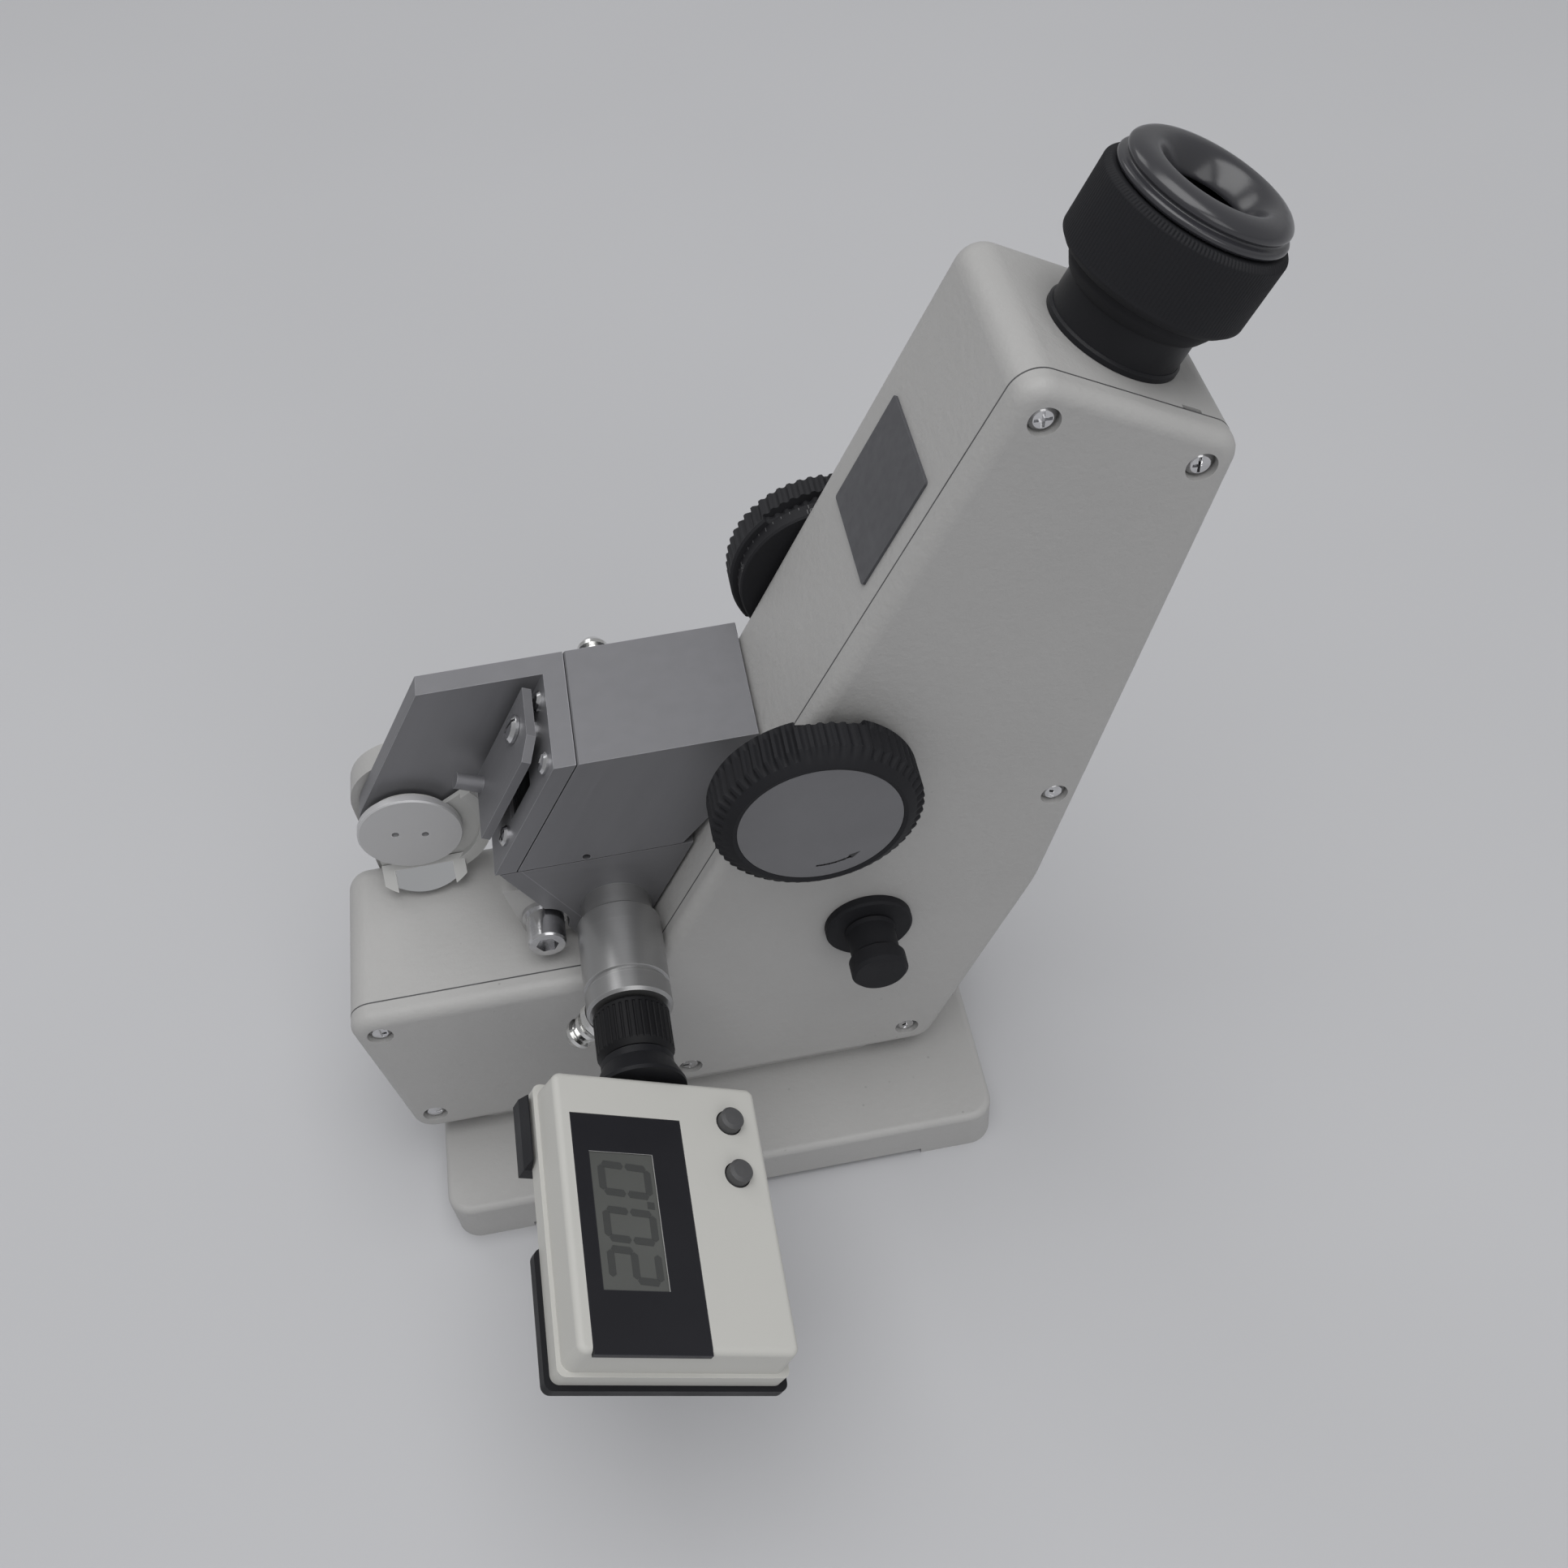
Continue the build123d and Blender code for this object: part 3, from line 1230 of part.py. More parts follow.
with BuildPart() as thermometer_stem:
    stem_foot = stem_start + stem_length
    turn(probe_start, toward_near, [
        (probe_radius + 0.02, stem_start), (stem_waist, stem_start),
        (stem_waist, stem_start + 1.6), (stem_flare, stem_foot - 0.9), (stem_flare, stem_foot),
        (probe_radius + 0.02, stem_foot)])
thermometer_stem.part.label = "thermometer_stem"
export_step(thermometer_stem.part, "parts/thermometer_stem.step")

with BuildPart() as display_panel:
    with BuildSketch(head_plane.offset(head_front - panel_depth)):
        with Locations((panel_mid_x, -panel_far - pocket_fit)):
            Rectangle(panel_width, panel_length - pocket_fit + panel_overhang,
                      align=(Align.CENTER, Align.MAX))
        with Locations(window_mid):
            Rectangle(*window_size, mode=Mode.SUBTRACT)
    extrude(amount=panel_depth)
display_panel.part.label = "display_panel"
export_step(display_panel.part, "parts/display_panel.step")

with BuildPart() as display_window:
    with BuildSketch(head_plane.offset(head_front - panel_depth)):
        with Locations(window_mid):
            Rectangle(window_size[0] - 2 * pocket_fit, window_size[1] - 2 * pocket_fit)
    extrude(amount=panel_depth - 0.15)
display_window.part.label = "display_window"
export_step(display_window.part, "parts/display_window.step")

board_top = head_front - panel_depth - head_wall - button_flange_thickness - button_travel - 1.0
with BuildPart() as circuit_board:
    with BuildSketch(head_plane.offset(board_top)):
        with Locations((0, head_mid)):
            Rectangle(board_width, board_length)
    extrude(amount=-board_thickness)
    with BuildSketch(head_plane.offset(board_top)):
        with Locations(window_mid):
            Rectangle(window_size[0] - 2.4, window_size[1] - 2.4)
    extrude(amount=head_front - panel_depth - 0.2 - board_top)
    with BuildSketch(head_plane.offset(board_top - board_thickness)):
        with Locations((0, head_mid)):
            with GridLocations(board_width - 2 * board_post_inset,
                               board_length - 2 * board_post_inset, 2, 2):
                Circle(board_post_radius)
    extrude(amount=-(board_top - board_thickness - front_bottom))
circuit_board.part.label = "circuit_board"
export_step(circuit_board.part, "parts/circuit_board.step")

button_names = ("power_button", "unit_button")
for name, spot in zip(button_names, button_spots):
    with BuildPart() as button:
        case_inside = head_front - panel_depth - head_wall
        start = head_plane.from_local_coords(Vector(spot[0], spot[1], case_inside - 0.05))
        rise = panel_depth + head_wall + button_proud + 0.05
        turn(start, head_plane.z_dir, [
            (0, -button_flange_thickness), (button_flange, -button_flange_thickness),
            (button_flange, 0), (button_radius, 0), (button_radius, rise - 0.7),
            (button_radius * 0.75, rise - 0.15), (0, rise)])
    button.part.label = name
    export_step(button.part, f"parts/{name}.step")

# ================================================================ lock knob


def rib_grooves(centre, outward, radius, start, length, first_angle):
    """Cuts the grooves between the ribs, in groups with a plain step between them."""
    line = Vector(outward).normalized()
    group_angle = 360 / rib_groups
    for group in range(rib_groups):
        for rib in range(ribs_in_group):
            angle = math.radians(first_angle + group * group_angle + rib * rib_pitch)
            spot = Vector(centre) + Vector(math.cos(angle), 0, math.sin(angle)) * radius
            round_bar(spot + line * start, line, rib_depth, length, Mode.SUBTRACT)


def wheel_steps(centre, outward, radius, start, length, first_angle):
    """Cuts the plain steps between the groups of ribs."""
    line = Vector(outward).normalized()
    group_angle = 360 / rib_groups
    plain = group_angle - ribs_in_group * rib_pitch
    for group in range(rib_groups):
        middle = first_angle + group * group_angle + ribs_in_group * rib_pitch + plain / 2
        middle -= rib_pitch / 2
        across = Vector(math.cos(math.radians(middle)), 0, math.sin(math.radians(middle)))
        inner = radius * math.cos(math.radians(plain / 2)) - rib_step
        face = Plane(origin=Vector(centre) + line * start + across * (inner + 5),
                     x_dir=across, z_dir=line)
        with BuildSketch(face) as step:
            Rectangle(10, 2 * radius * math.sin(math.radians(plain / 2)))
        extrude(step.sketch, amount=length, mode=Mode.SUBTRACT)


lock_back_y = -case_half - lock_gap
lock_centre = Vector(lock_x, lock_back_y, lock_z)
with BuildPart() as lock_knob:
    turn(lock_centre, toward_near, [
        (lock_shaft_radius + 0.01, 0), (lock_radius - 0.6, 0), (lock_radius, 0.6),
        (lock_radius, lock_thickness - knob_lip),
        (lock_radius - 1.0, lock_thickness - knob_lip + 0.9),
        (lock_disc_radius + 1.2, lock_thickness),
        (lock_disc_radius + pocket_fit, lock_thickness - 0.2),
        (lock_disc_radius + pocket_fit, lock_thickness - lock_disc_sink - lock_disc_thickness),
        (lock_shaft_radius + 0.01, lock_thickness - lock_disc_sink - lock_disc_thickness)])
    rib_grooves(lock_centre, toward_near, lock_radius + 0.25, -1, lock_thickness - knob_lip,
                rib_first_angle)
    wheel_steps(lock_centre, toward_near, lock_radius, -1, knob_lip, rib_first_angle)
lock_knob.part.label = "lock_knob"
export_step(lock_knob.part, "parts/lock_knob.step")

with BuildPart() as lock_knob_disc:
    round_bar(lock_centre + toward_near * (lock_thickness - lock_disc_sink - lock_disc_thickness),
              toward_near, lock_disc_radius, lock_disc_thickness)
lock_knob_disc.part.label = "lock_knob_disc"
export_step(lock_knob_disc.part, "parts/lock_knob_disc.step")

with BuildPart() as lock_shaft:
    knob_floor = lock_thickness - lock_disc_sink - lock_disc_thickness - 0.05
    turn(lock_centre, toward_near, [
        (0, -lock_gap - lock_shaft_reach), (lock_shaft_radius, -lock_gap - lock_shaft_reach),
        (lock_shaft_radius, -lock_gap - cover_thickness + side_gap),
        (lock_bush_radius, -lock_gap - cover_thickness + side_gap), (lock_bush_radius, -0.1),
        (lock_shaft_radius, -0.1), (lock_shaft_radius, knob_floor), (0, knob_floor)])
    cam_plane = at_y(-lock_cam_width / 2)
    with BuildSketch(cam_plane):
        with Locations((lock_x + lock_cam_offset * lean_cos, lock_z - lock_cam_offset * lean_sin)):
            Circle(lock_cam_radius)
    extrude(amount=-2)
lock_shaft.part.label = "lock_shaft"
export_step(lock_shaft.part, "parts/lock_shaft.step")

# ================================================================ index knob and scale
index_face = Vector(index_x, -case_half, index_z)
with BuildPart() as index_bush:
    turn(index_face, toward_near, [
        (index_shaft_radius + running_fit, -cover_thickness - 2),
        (index_bush_radius, -cover_thickness - 2), (index_bush_radius, 0),
        (index_flange_radius, 0), (index_flange_radius, index_flange_thickness - 0.5),
        (index_flange_radius - 0.5, index_flange_thickness),
        (index_shaft_radius + running_fit, index_flange_thickness)])
index_bush.part.label = "index_bush"
export_step(index_bush.part, "parts/index_bush.step")

knob_back = index_flange_thickness + side_gap
knob_front = knob_back + index_length
with BuildPart() as index_knob:
    turn(index_face, toward_near, [
        (index_shaft_radius + 0.01, knob_back), (index_waist + 0.3, knob_back),
        (index_waist, knob_back + 1.0), (index_waist, knob_front - 4.8),
        (index_end, knob_front - 3.9), (index_end, knob_front - 0.7),
        (index_end - 0.7, knob_front), (0, knob_front), (0, knob_front - 2),
        (index_shaft_radius + 0.01, knob_front - 2)])
index_knob.part.label = "index_knob"
export_step(index_knob.part, "parts/index_knob.step")

pivot_to_pinion = Vector(index_x - pivot_x, 0, index_z - light_z)
sector_radius = pivot_to_pinion.length - pinion_radius
sector_down = math.degrees(math.atan2(pivot_to_pinion.Z, pivot_to_pinion.X))
with BuildPart() as index_shaft:
    shaft_end = far_wall_y + 0.6
    turn((index_x, 0, index_z), toward_far, [
        (0, -case_half - knob_front + 2.05), (index_shaft_radius, -case_half - knob_front + 2.05),
        (index_shaft_radius, sector_y - 0.5), (pinion_radius - gear_gap, sector_y - 0.5),
        (pinion_radius - gear_gap, sector_far + 0.5), (index_shaft_radius, sector_far + 0.5),
        (index_shaft_radius, shaft_end), (0, shaft_end)])
index_shaft.part.label = "index_shaft"
export_step(index_shaft.part, "parts/index_shaft.step")

sector_half = sector_swing + sector_margin


def fan(inner, outer, half_angle, middle):
    """A flat ring sector about the scale's pivot, as a sketch in x and z."""
    far = 2 * outer
    corners = [(pivot_x, light_z)]
    for step in (-1, -0.33, 0.33, 1):
        angle = math.radians(middle + step * half_angle)
        corners.append((pivot_x + far * math.cos(angle), light_z + far * math.sin(angle)))
    with BuildSketch() as face:
        with BuildLine():
            Polyline(*corners, close=True)
        make_face()
        with Locations((pivot_x, light_z)):
            Circle(outer, mode=Mode.INTERSECT)
            if inner > 0:
                Circle(inner, mode=Mode.SUBTRACT)
    return face.sketch


bisector = (up_the_arm + Vector(-1, 0, 0)).normalized()
scale_pivot = Vector(pivot_x, 0, light_z)
with BuildPart() as scale_sector:
    with BuildSketch(at_y(sector_y)):
        add(fan(0, sector_radius, sector_half, sector_down))
    extrude(amount=-sector_thickness)
    with BuildSketch(at_y(sector_y)):
        add(fan(scale_glass_inner + 1, scale_glass_outer - 1, sector_half - 3, sector_down))
    extrude(amount=-sector_thickness, mode=Mode.SUBTRACT)
    round_bar((pivot_x, sector_y - 2.5, light_z), toward_far, sector_hub, 7)
    # the table of the mirror, in front of the hub
    with BuildSketch(Plane(origin=scale_pivot - bisector * 1.5, x_dir=(0, 1, 0), z_dir=bisector)):
        with Locations((-scale_mirror_size / 2, 0)):
            Rectangle(sector_y + scale_mirror_size / 2 - 1, scale_mirror_size - 3,
                      align=(Align.MIN, Align.CENTER))
    extrude(amount=-mirror_table_thickness)
    round_bar((pivot_x, sector_y - 2.1, light_z), toward_far, pivot_radius + running_fit, 8,
              Mode.SUBTRACT)
scale_sector.part.label = "scale_sector"
export_step(scale_sector.part, "parts/scale_sector.step")

with BuildPart() as scale_glass:
    with BuildSketch(at_y(sector_far)):
        add(fan(scale_glass_inner, scale_glass_outer, sector_half - 2, sector_down))
    extrude(amount=-scale_glass_thickness)
scale_glass.part.label = "scale_glass"
export_step(scale_glass.part, "parts/scale_glass.step")

with BuildPart() as scale_mirror:
    with BuildSketch(Plane(origin=scale_pivot - bisector * 1.5, x_dir=(0, 1, 0), z_dir=bisector)):
        Rectangle(scale_mirror_size, scale_mirror_size)
    extrude(amount=scale_mirror_thickness)
scale_mirror.part.label = "scale_mirror"
export_step(scale_mirror.part, "parts/scale_mirror.step")

# ================================================================ dispersion wheel
ring_near = case_half + wheel_gap
ring_far = ring_near + scale_ring_thickness
wheel_face = Vector(wheel_centre.X, ring_far, wheel_centre.Z)
with BuildPart() as dispersion_scale_ring:
    turn((wheel_centre.X, ring_near, wheel_centre.Z), toward_far, [
        (wheel_bush_radius + 0.02, 0), (scale_ring_radius - 0.4, 0), (scale_ring_radius, 0.4),
        (scale_ring_radius, scale_ring_thickness),
        (wheel_bush_radius + 0.02, scale_ring_thickness)])
dispersion_scale_ring.part.label = "dispersion_scale_ring"
export_step(dispersion_scale_ring.part, "parts/dispersion_scale_ring.step")

with BuildPart() as dispersion_wheel:
    turn(wheel_face, toward_far, [
        (wheel_bush_radius + 0.02, 0), (wheel_radius - 0.6, 0), (wheel_radius, 0.6),
        (wheel_radius, wheel_thickness - knob_lip),
        (wheel_radius - 1.0, wheel_thickness - knob_lip + 0.9),
        (lock_disc_radius, wheel_thickness), (0, wheel_thickness), (0, wheel_thickness - 3),
        (wheel_bush_radius + 0.02, wheel_thickness - 3)])
    rib_grooves(wheel_face, toward_far, wheel_radius + 0.25, -1, wheel_thickness - knob_lip,
                far_rib_first_angle)
    wheel_steps(wheel_face, toward_far, wheel_radius, -1, knob_lip, far_rib_first_angle)
dispersion_wheel.part.label = "dispersion_wheel"
export_step(dispersion_wheel.part, "parts/dispersion_wheel.step")

with BuildPart() as dispersion_shaft:
    wheel_floor = ring_far + wheel_thickness - 3.05
    turn((wheel_centre.X, 0, wheel_centre.Z), toward_far, [
        (0, -worm_length / 2 - 4), (wheel_shaft_radius, -worm_length / 2 - 4),
        (wheel_shaft_radius, -worm_length / 2), (worm_radius, -worm_length / 2),
        (worm_radius, worm_length / 2), (wheel_shaft_radius, worm_length / 2),
        (wheel_shaft_radius, far_wall_y - 1), (wheel_bush_radius, far_wall_y - 1),
        (wheel_bush_radius, wheel_floor), (0, wheel_floor)])
dispersion_shaft.part.label = "dispersion_shaft"
export_step(dispersion_shaft.part, "parts/dispersion_shaft.step")

# ================================================================ telescope tube
tube_bore = tube_radius - tube_wall
optic_start = arm_point(0, optic_across)
crown_low = wheel_along + worm_radius + gear_gap
crown_high = crown_low + crown_thickness + crown_gap
cell_low_start = wheel_along - worm_radius - gear_gap - cell_length
cell_high_start = crown_high + crown_thickness
lens_seat = cell_high_start + cell_length + gear_gap
tube_end = arm_length + eye_tube_proud
with BuildPart() as telescope_tube:
    turn(optic_start, up_the_arm, [
        (tube_lip_radius, tube_start), (tube_radius, tube_start),
        (tube_radius, arm_length + running_fit), (eye_flange_radius, arm_length + running_fit),
        (eye_flange_radius, arm_length + eye_flange_thickness - 0.4),
        (eye_flange_radius - 0.4, arm_length + eye_flange_thickness),
        (tube_radius, arm_length + eye_flange_thickness), (tube_radius, tube_end),
        (tube_bore, tube_end), (tube_bore, reticle_along),
        (tube_lip_radius, reticle_along), (tube_lip_radius, reticle_along - tube_lip),
        (tube_bore, reticle_along - tube_lip), (tube_bore, lens_seat + tube_lip),
        (tube_lip_radius, lens_seat + tube_lip), (tube_lip_radius, lens_seat),
        (tube_bore, lens_seat), (tube_bore, cell_low_start - gear_gap),
        (tube_lip_radius, cell_low_start - gear_gap)])
    round_bar((wheel_centre.X, -case_half, wheel_centre.Z), toward_far, worm_radius + side_gap,
              2 * case_half, Mode.SUBTRACT)
    idler_line = (crown_low + crown_thickness + crown_high) / 2
    round_bar(arm_point(idler_line, optic_across), across_the_arm, idler_pin_radius + running_fit,
              tube_radius + 1, Mode.SUBTRACT)
telescope_tube.part.label = "telescope_tube"
export_step(telescope_tube.part, "parts/telescope_tube.step")

cell_radius = tube_bore - running_fit
with BuildPart() as compensator_cell_lower:
    turn(arm_point(cell_low_start, optic_across), up_the_arm, [
        (cell_bore, 0), (cell_radius, 0), (cell_radius, cell_length),
        (cell_neck, cell_length), (cell_neck, crown_low - cell_low_start),
        (crown_radius, crown_low - cell_low_start),
        (crown_radius, crown_low - cell_low_start + crown_thickness),
        (cell_bore, crown_low - cell_low_start + crown_thickness)])
compensator_cell_lower.part.label = "compensator_cell_lower"
export_step(compensator_cell_lower.part, "parts/compensator_cell_lower.step")

with BuildPart() as compensator_cell_upper:
    turn(arm_point(crown_high, optic_across), up_the_arm, [
        (cell_bore, 0), (crown_radius, 0), (crown_radius, crown_thickness),
        (cell_radius, crown_thickness), (cell_radius, crown_thickness + cell_length),
        (cell_bore, crown_thickness + cell_length)])
compensator_cell_upper.part.label = "compensator_cell_upper"
export_step(compensator_cell_upper.part, "parts/compensator_cell_upper.step")

prism_side = 1.38 * (cell_bore - 0.1)
with BuildPart() as compensator_prism_lower:
    with BuildSketch(Plane(origin=arm_point(cell_low_start + 1, optic_across), x_dir=(0, 1, 0),
                           z_dir=up_the_arm)):
        Rectangle(prism_side, prism_side)
    extrude(amount=crown_low - cell_low_start - 1)
compensator_prism_lower.part.label = "compensator_prism_lower"
export_step(compensator_prism_lower.part, "parts/compensator_prism_lower.step")

with BuildPart() as compensator_prism_upper:
    with BuildSketch(Plane(origin=arm_point(crown_high + 0.5, optic_across), x_dir=(0, 1, 0),
                           z_dir=up_the_arm)):
        Rectangle(prism_side, prism_side)
    extrude(amount=cell_length)
compensator_prism_upper.part.label = "compensator_prism_upper"
export_step(compensator_prism_upper.part, "parts/compensator_prism_upper.step")

with BuildPart() as compensator_idler:
    turn(arm_point(idler_line, optic_across), across_the_arm, [
        (0, idler_reach - idler_thickness / 2), (idler_radius, idler_reach - idler_thickness / 2),
        (idler_radius, idler_reach + idler_thickness / 2),
        (idler_pin_radius, idler_reach + idler_thickness / 2),
        (idler_pin_radius, tube_radius), (0, tube_radius)])
compensator_idler.part.label = "compensator_idler"
export_step(compensator_idler.part, "parts/compensator_idler.step")

with BuildPart() as telescope_lenses:
    turn(arm_point(lens_seat + tube_lip, optic_across), up_the_arm, [
        (0, 0), (tube_bore - pocket_fit, 0), (tube_bore - pocket_fit, lens_thickness * 0.5),
        (tube_bore * 0.6, lens_thickness * 0.85), (0, lens_thickness)])
    turn(arm_point(reticle_along, optic_across), up_the_arm, [
        (0, 0), (tube_bore - pocket_fit, 0), (tube_bore - pocket_fit, reticle_thickness),
        (0, reticle_thickness)])
telescope_lenses.part.label = "telescope_lenses"
export_step(telescope_lenses.part, "parts/telescope_lenses.step")

# ================================================================ eyepiece
eye_start = arm_point(arm_length, optic_across)
lens_tube_radius = tube_bore - running_fit
lens_tube_bore = lens_tube_radius - lens_tube_wall
# the flange slides in the collar's recess, under the eyecup, by the travel each way
flange_at = collar_end - eye_travel - side_gap - lens_flange_thickness
with BuildPart() as eyepiece_lens_tube:
    turn(eye_start, up_the_arm, [
        (lens_tube_bore, -lens_tube_inset + field_lens_thickness + 1),
        (lens_tube_bore - 1, -lens_tube_inset + field_lens_thickness + 1),
        (lens_tube_bore - 1, -lens_tube_inset), (lens_tube_radius, -lens_tube_inset),
        (lens_tube_radius, flange_at), (lens_flange_radius, flange_at),
        (lens_flange_radius, flange_at + lens_flange_thickness),
        (lens_tube_bore, flange_at + lens_flange_thickness),
        (lens_tube_bore, flange_at - eye_lens_thickness),
        (lens_tube_bore - 1, flange_at - eye_lens_thickness),
        (lens_tube_bore - 1, flange_at - eye_lens_thickness - 1.2),
        (lens_tube_bore, flange_at - eye_lens_thickness - 1.2)])
eyepiece_lens_tube.part.label = "eyepiece_lens_tube"
export_step(eyepiece_lens_tube.part, "parts/eyepiece_lens_tube.step")

with BuildPart() as eyepiece_lenses:
    turn(eye_start, up_the_arm, [
        (0, -lens_tube_inset + field_lens_thickness + 1),
        (lens_tube_bore - pocket_fit, -lens_tube_inset + field_lens_thickness + 1),
        (lens_tube_bore - pocket_fit, -lens_tube_inset + field_lens_thickness + 2.2),
        (0, -lens_tube_inset + 2 * field_lens_thickness + 1)])
    turn(eye_start, up_the_arm, [
        (0, flange_at - eye_lens_thickness),
        (lens_tube_bore - pocket_fit, flange_at - eye_lens_thickness),
        (lens_tube_bore - pocket_fit, flange_at - eye_lens_thickness * 0.55),
        (lens_tube_bore * 0.55, flange_at - eye_lens_thickness * 0.15), (0, flange_at)])
eyepiece_lenses.part.label = "eyepiece_lenses"
export_step(eyepiece_lenses.part, "parts/eyepiece_lenses.step")

collar_bore = lens_tube_radius + running_fit
skirt_depth = eye_tube_proud + side_gap
recess_floor = flange_at - eye_travel - side_gap
with BuildPart() as eyepiece_collar:
    turn(eye_start, up_the_arm, [
        (tube_radius + running_fit, neck_start), (neck_radius, neck_start),
        (neck_top_radius, neck_top), (neck_top_radius, collar_start),
        (collar_radius - 1.3, collar_start), (collar_radius, collar_start + 1.3),
        (collar_radius, collar_end - 0.9), (collar_radius - 0.9, collar_end),
        (lens_flange_radius + pocket_fit, collar_end),
        (lens_flange_radius + pocket_fit, recess_floor),
        (collar_bore, recess_floor), (collar_bore, skirt_depth),
        (tube_radius + running_fit, skirt_depth)])
    for knurl in range(knurl_count):
        angle = 2 * math.pi * knurl / knurl_count
        outward = Vector(0, 1, 0) * math.cos(angle) + across_the_arm * math.sin(angle)
        round_bar(eye_start + outward * (collar_radius + knurl_depth * 0.3)
                  + up_the_arm * (collar_start - 1), up_the_arm, knurl_depth,
                  collar_end - collar_start - 1.2, Mode.SUBTRACT)
eyepiece_collar.part.label = "eyepiece_collar"
export_step(eyepiece_collar.part, "parts/eyepiece_collar.step")

with BuildPart() as eyecup:
    cup_start = eye_start + up_the_arm * (collar_end + running_fit)
    groove_end = eyecup_band_height + eyecup_groove
    turn(cup_start, up_the_arm, [
        (eyecup_throat, 0), (eyecup_band_radius - 0.8, 0), (eyecup_band_radius, 0.6),
        (eyecup_band_radius, eyecup_band_height - 0.4),
        (eyecup_dome_radius - eyecup_groove, eyecup_band_height),
        (eyecup_dome_radius - eyecup_groove, groove_end), (eyecup_dome_radius, groove_end + 0.5),
        (eyecup_dome_radius, eyecup_height * 0.72), (eyecup_top + 1.3, eyecup_height * 0.92),
        (eyecup_top, eyecup_height), (eyecup_mouth + 1.2, eyecup_height),
        (eyecup_mouth, eyecup_height * 0.84), (eyecup_throat, eyecup_height * 0.2)])
eyecup.part.label = "eyecup"
export_step(eyecup.part, "parts/eyecup.step")
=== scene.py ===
"""Looks of an abbe refractometer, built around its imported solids.

Everything is in metres, in the frame of the solids: X runs along the case towards the
eyepiece side, Y away from the viewer, Z up from the table. Sizes are written in
millimetres and multiplied by MM where a mesh is made.
"""

import logging
import math
from collections.abc import Callable
from dataclasses import dataclass, field
from enum import Enum

import bmesh
import bpy
import numpy as np
from mathutils import Matrix, Vector


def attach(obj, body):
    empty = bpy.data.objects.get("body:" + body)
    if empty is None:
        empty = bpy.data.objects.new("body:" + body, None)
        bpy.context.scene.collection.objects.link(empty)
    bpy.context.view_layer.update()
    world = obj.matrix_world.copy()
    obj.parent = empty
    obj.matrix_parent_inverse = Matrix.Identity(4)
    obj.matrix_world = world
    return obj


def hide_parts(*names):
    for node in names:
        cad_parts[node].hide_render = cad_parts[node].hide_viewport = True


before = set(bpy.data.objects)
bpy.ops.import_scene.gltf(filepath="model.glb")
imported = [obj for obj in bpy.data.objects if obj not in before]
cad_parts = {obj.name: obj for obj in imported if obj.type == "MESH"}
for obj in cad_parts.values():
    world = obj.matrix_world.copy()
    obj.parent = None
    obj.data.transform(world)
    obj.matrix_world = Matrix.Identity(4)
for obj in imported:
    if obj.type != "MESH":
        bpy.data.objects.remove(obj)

log = logging.getLogger("refractometer")
MM = 0.001
TINY = 1e-9
Array = np.ndarray
Pair = tuple[float, float]
Triple = tuple[float, float, float]
Socket = bpy.types.NodeSocket
Placer = Callable[[Array, Array], Array]

# ---- shared places
ARM_LEAN = math.radians(28.26)
UP_ARM = np.array([math.sin(ARM_LEAN), 0.0, math.cos(ARM_LEAN)])
ACROSS_ARM = np.array([math.cos(ARM_LEAN), 0.0, -math.sin(ARM_LEAN)])
ARM_LENGTH = 166.3
ELBOW = np.array([-8.0, 0.0, 69.9])
NEARWARD = np.array([0.0, -1.0, 0.0])
FARWARD = np.array([0.0, 1.0, 0.0])
RIGHTWARD = np.array([1.0, 0.0, 0.0])
UPWARD = np.array([0.0, 0.0, 1.0])
HEAD_ROLL = math.radians(30.0)
HEAD_ACROSS = np.array([math.cos(HEAD_ROLL), 0.0, -math.sin(HEAD_ROLL)])
HEAD_UP = np.array([math.sin(HEAD_ROLL), 0.0, math.cos(HEAD_ROLL)])
PROBE_XZ = (-13.4, 80.0)
HINGE_XZ = (-56.4, 89.8)
LATHE_ALONG_Y = (math.radians(90.0), 0.0, 0.0)


def put_in_scene(name: str, data: bpy.types.ID) -> bpy.types.Object:
    """Makes an object of the data and puts it in the scene.

    Args:
        name: the object's name.
        data: its mesh, curve, lamp or camera.

    Returns:
        The object.
    """
    made = bpy.data.objects.new(name, data)
    bpy.context.scene.collection.objects.link(made)
    return made


def rays(angle: Array) -> Array:
    """Gives the cosine and sine of each angle, in radians, as pairs."""
    return np.stack([np.cos(angle), np.sin(angle)], axis=-1)


def arm_place(along: float, across: float) -> Array:
    """Gives a place on the arm's middle plane.

    Args:
        along: distance up the arm from the elbow, in millimetres.
        across: distance from its slanted front face, in millimetres.

    Returns:
        The place, in millimetres.
    """
    return ELBOW + UP_ARM * along + ACROSS_ARM * across


# ---- materials
MIXED_COLOURS = (6, 7)      # the mix node's colour sockets among its inputs
MIX_RESULT = 2              # and its colour among its outputs
TOOL_MARKS = 0.6            # roughness of the noise of lumps and tool marks


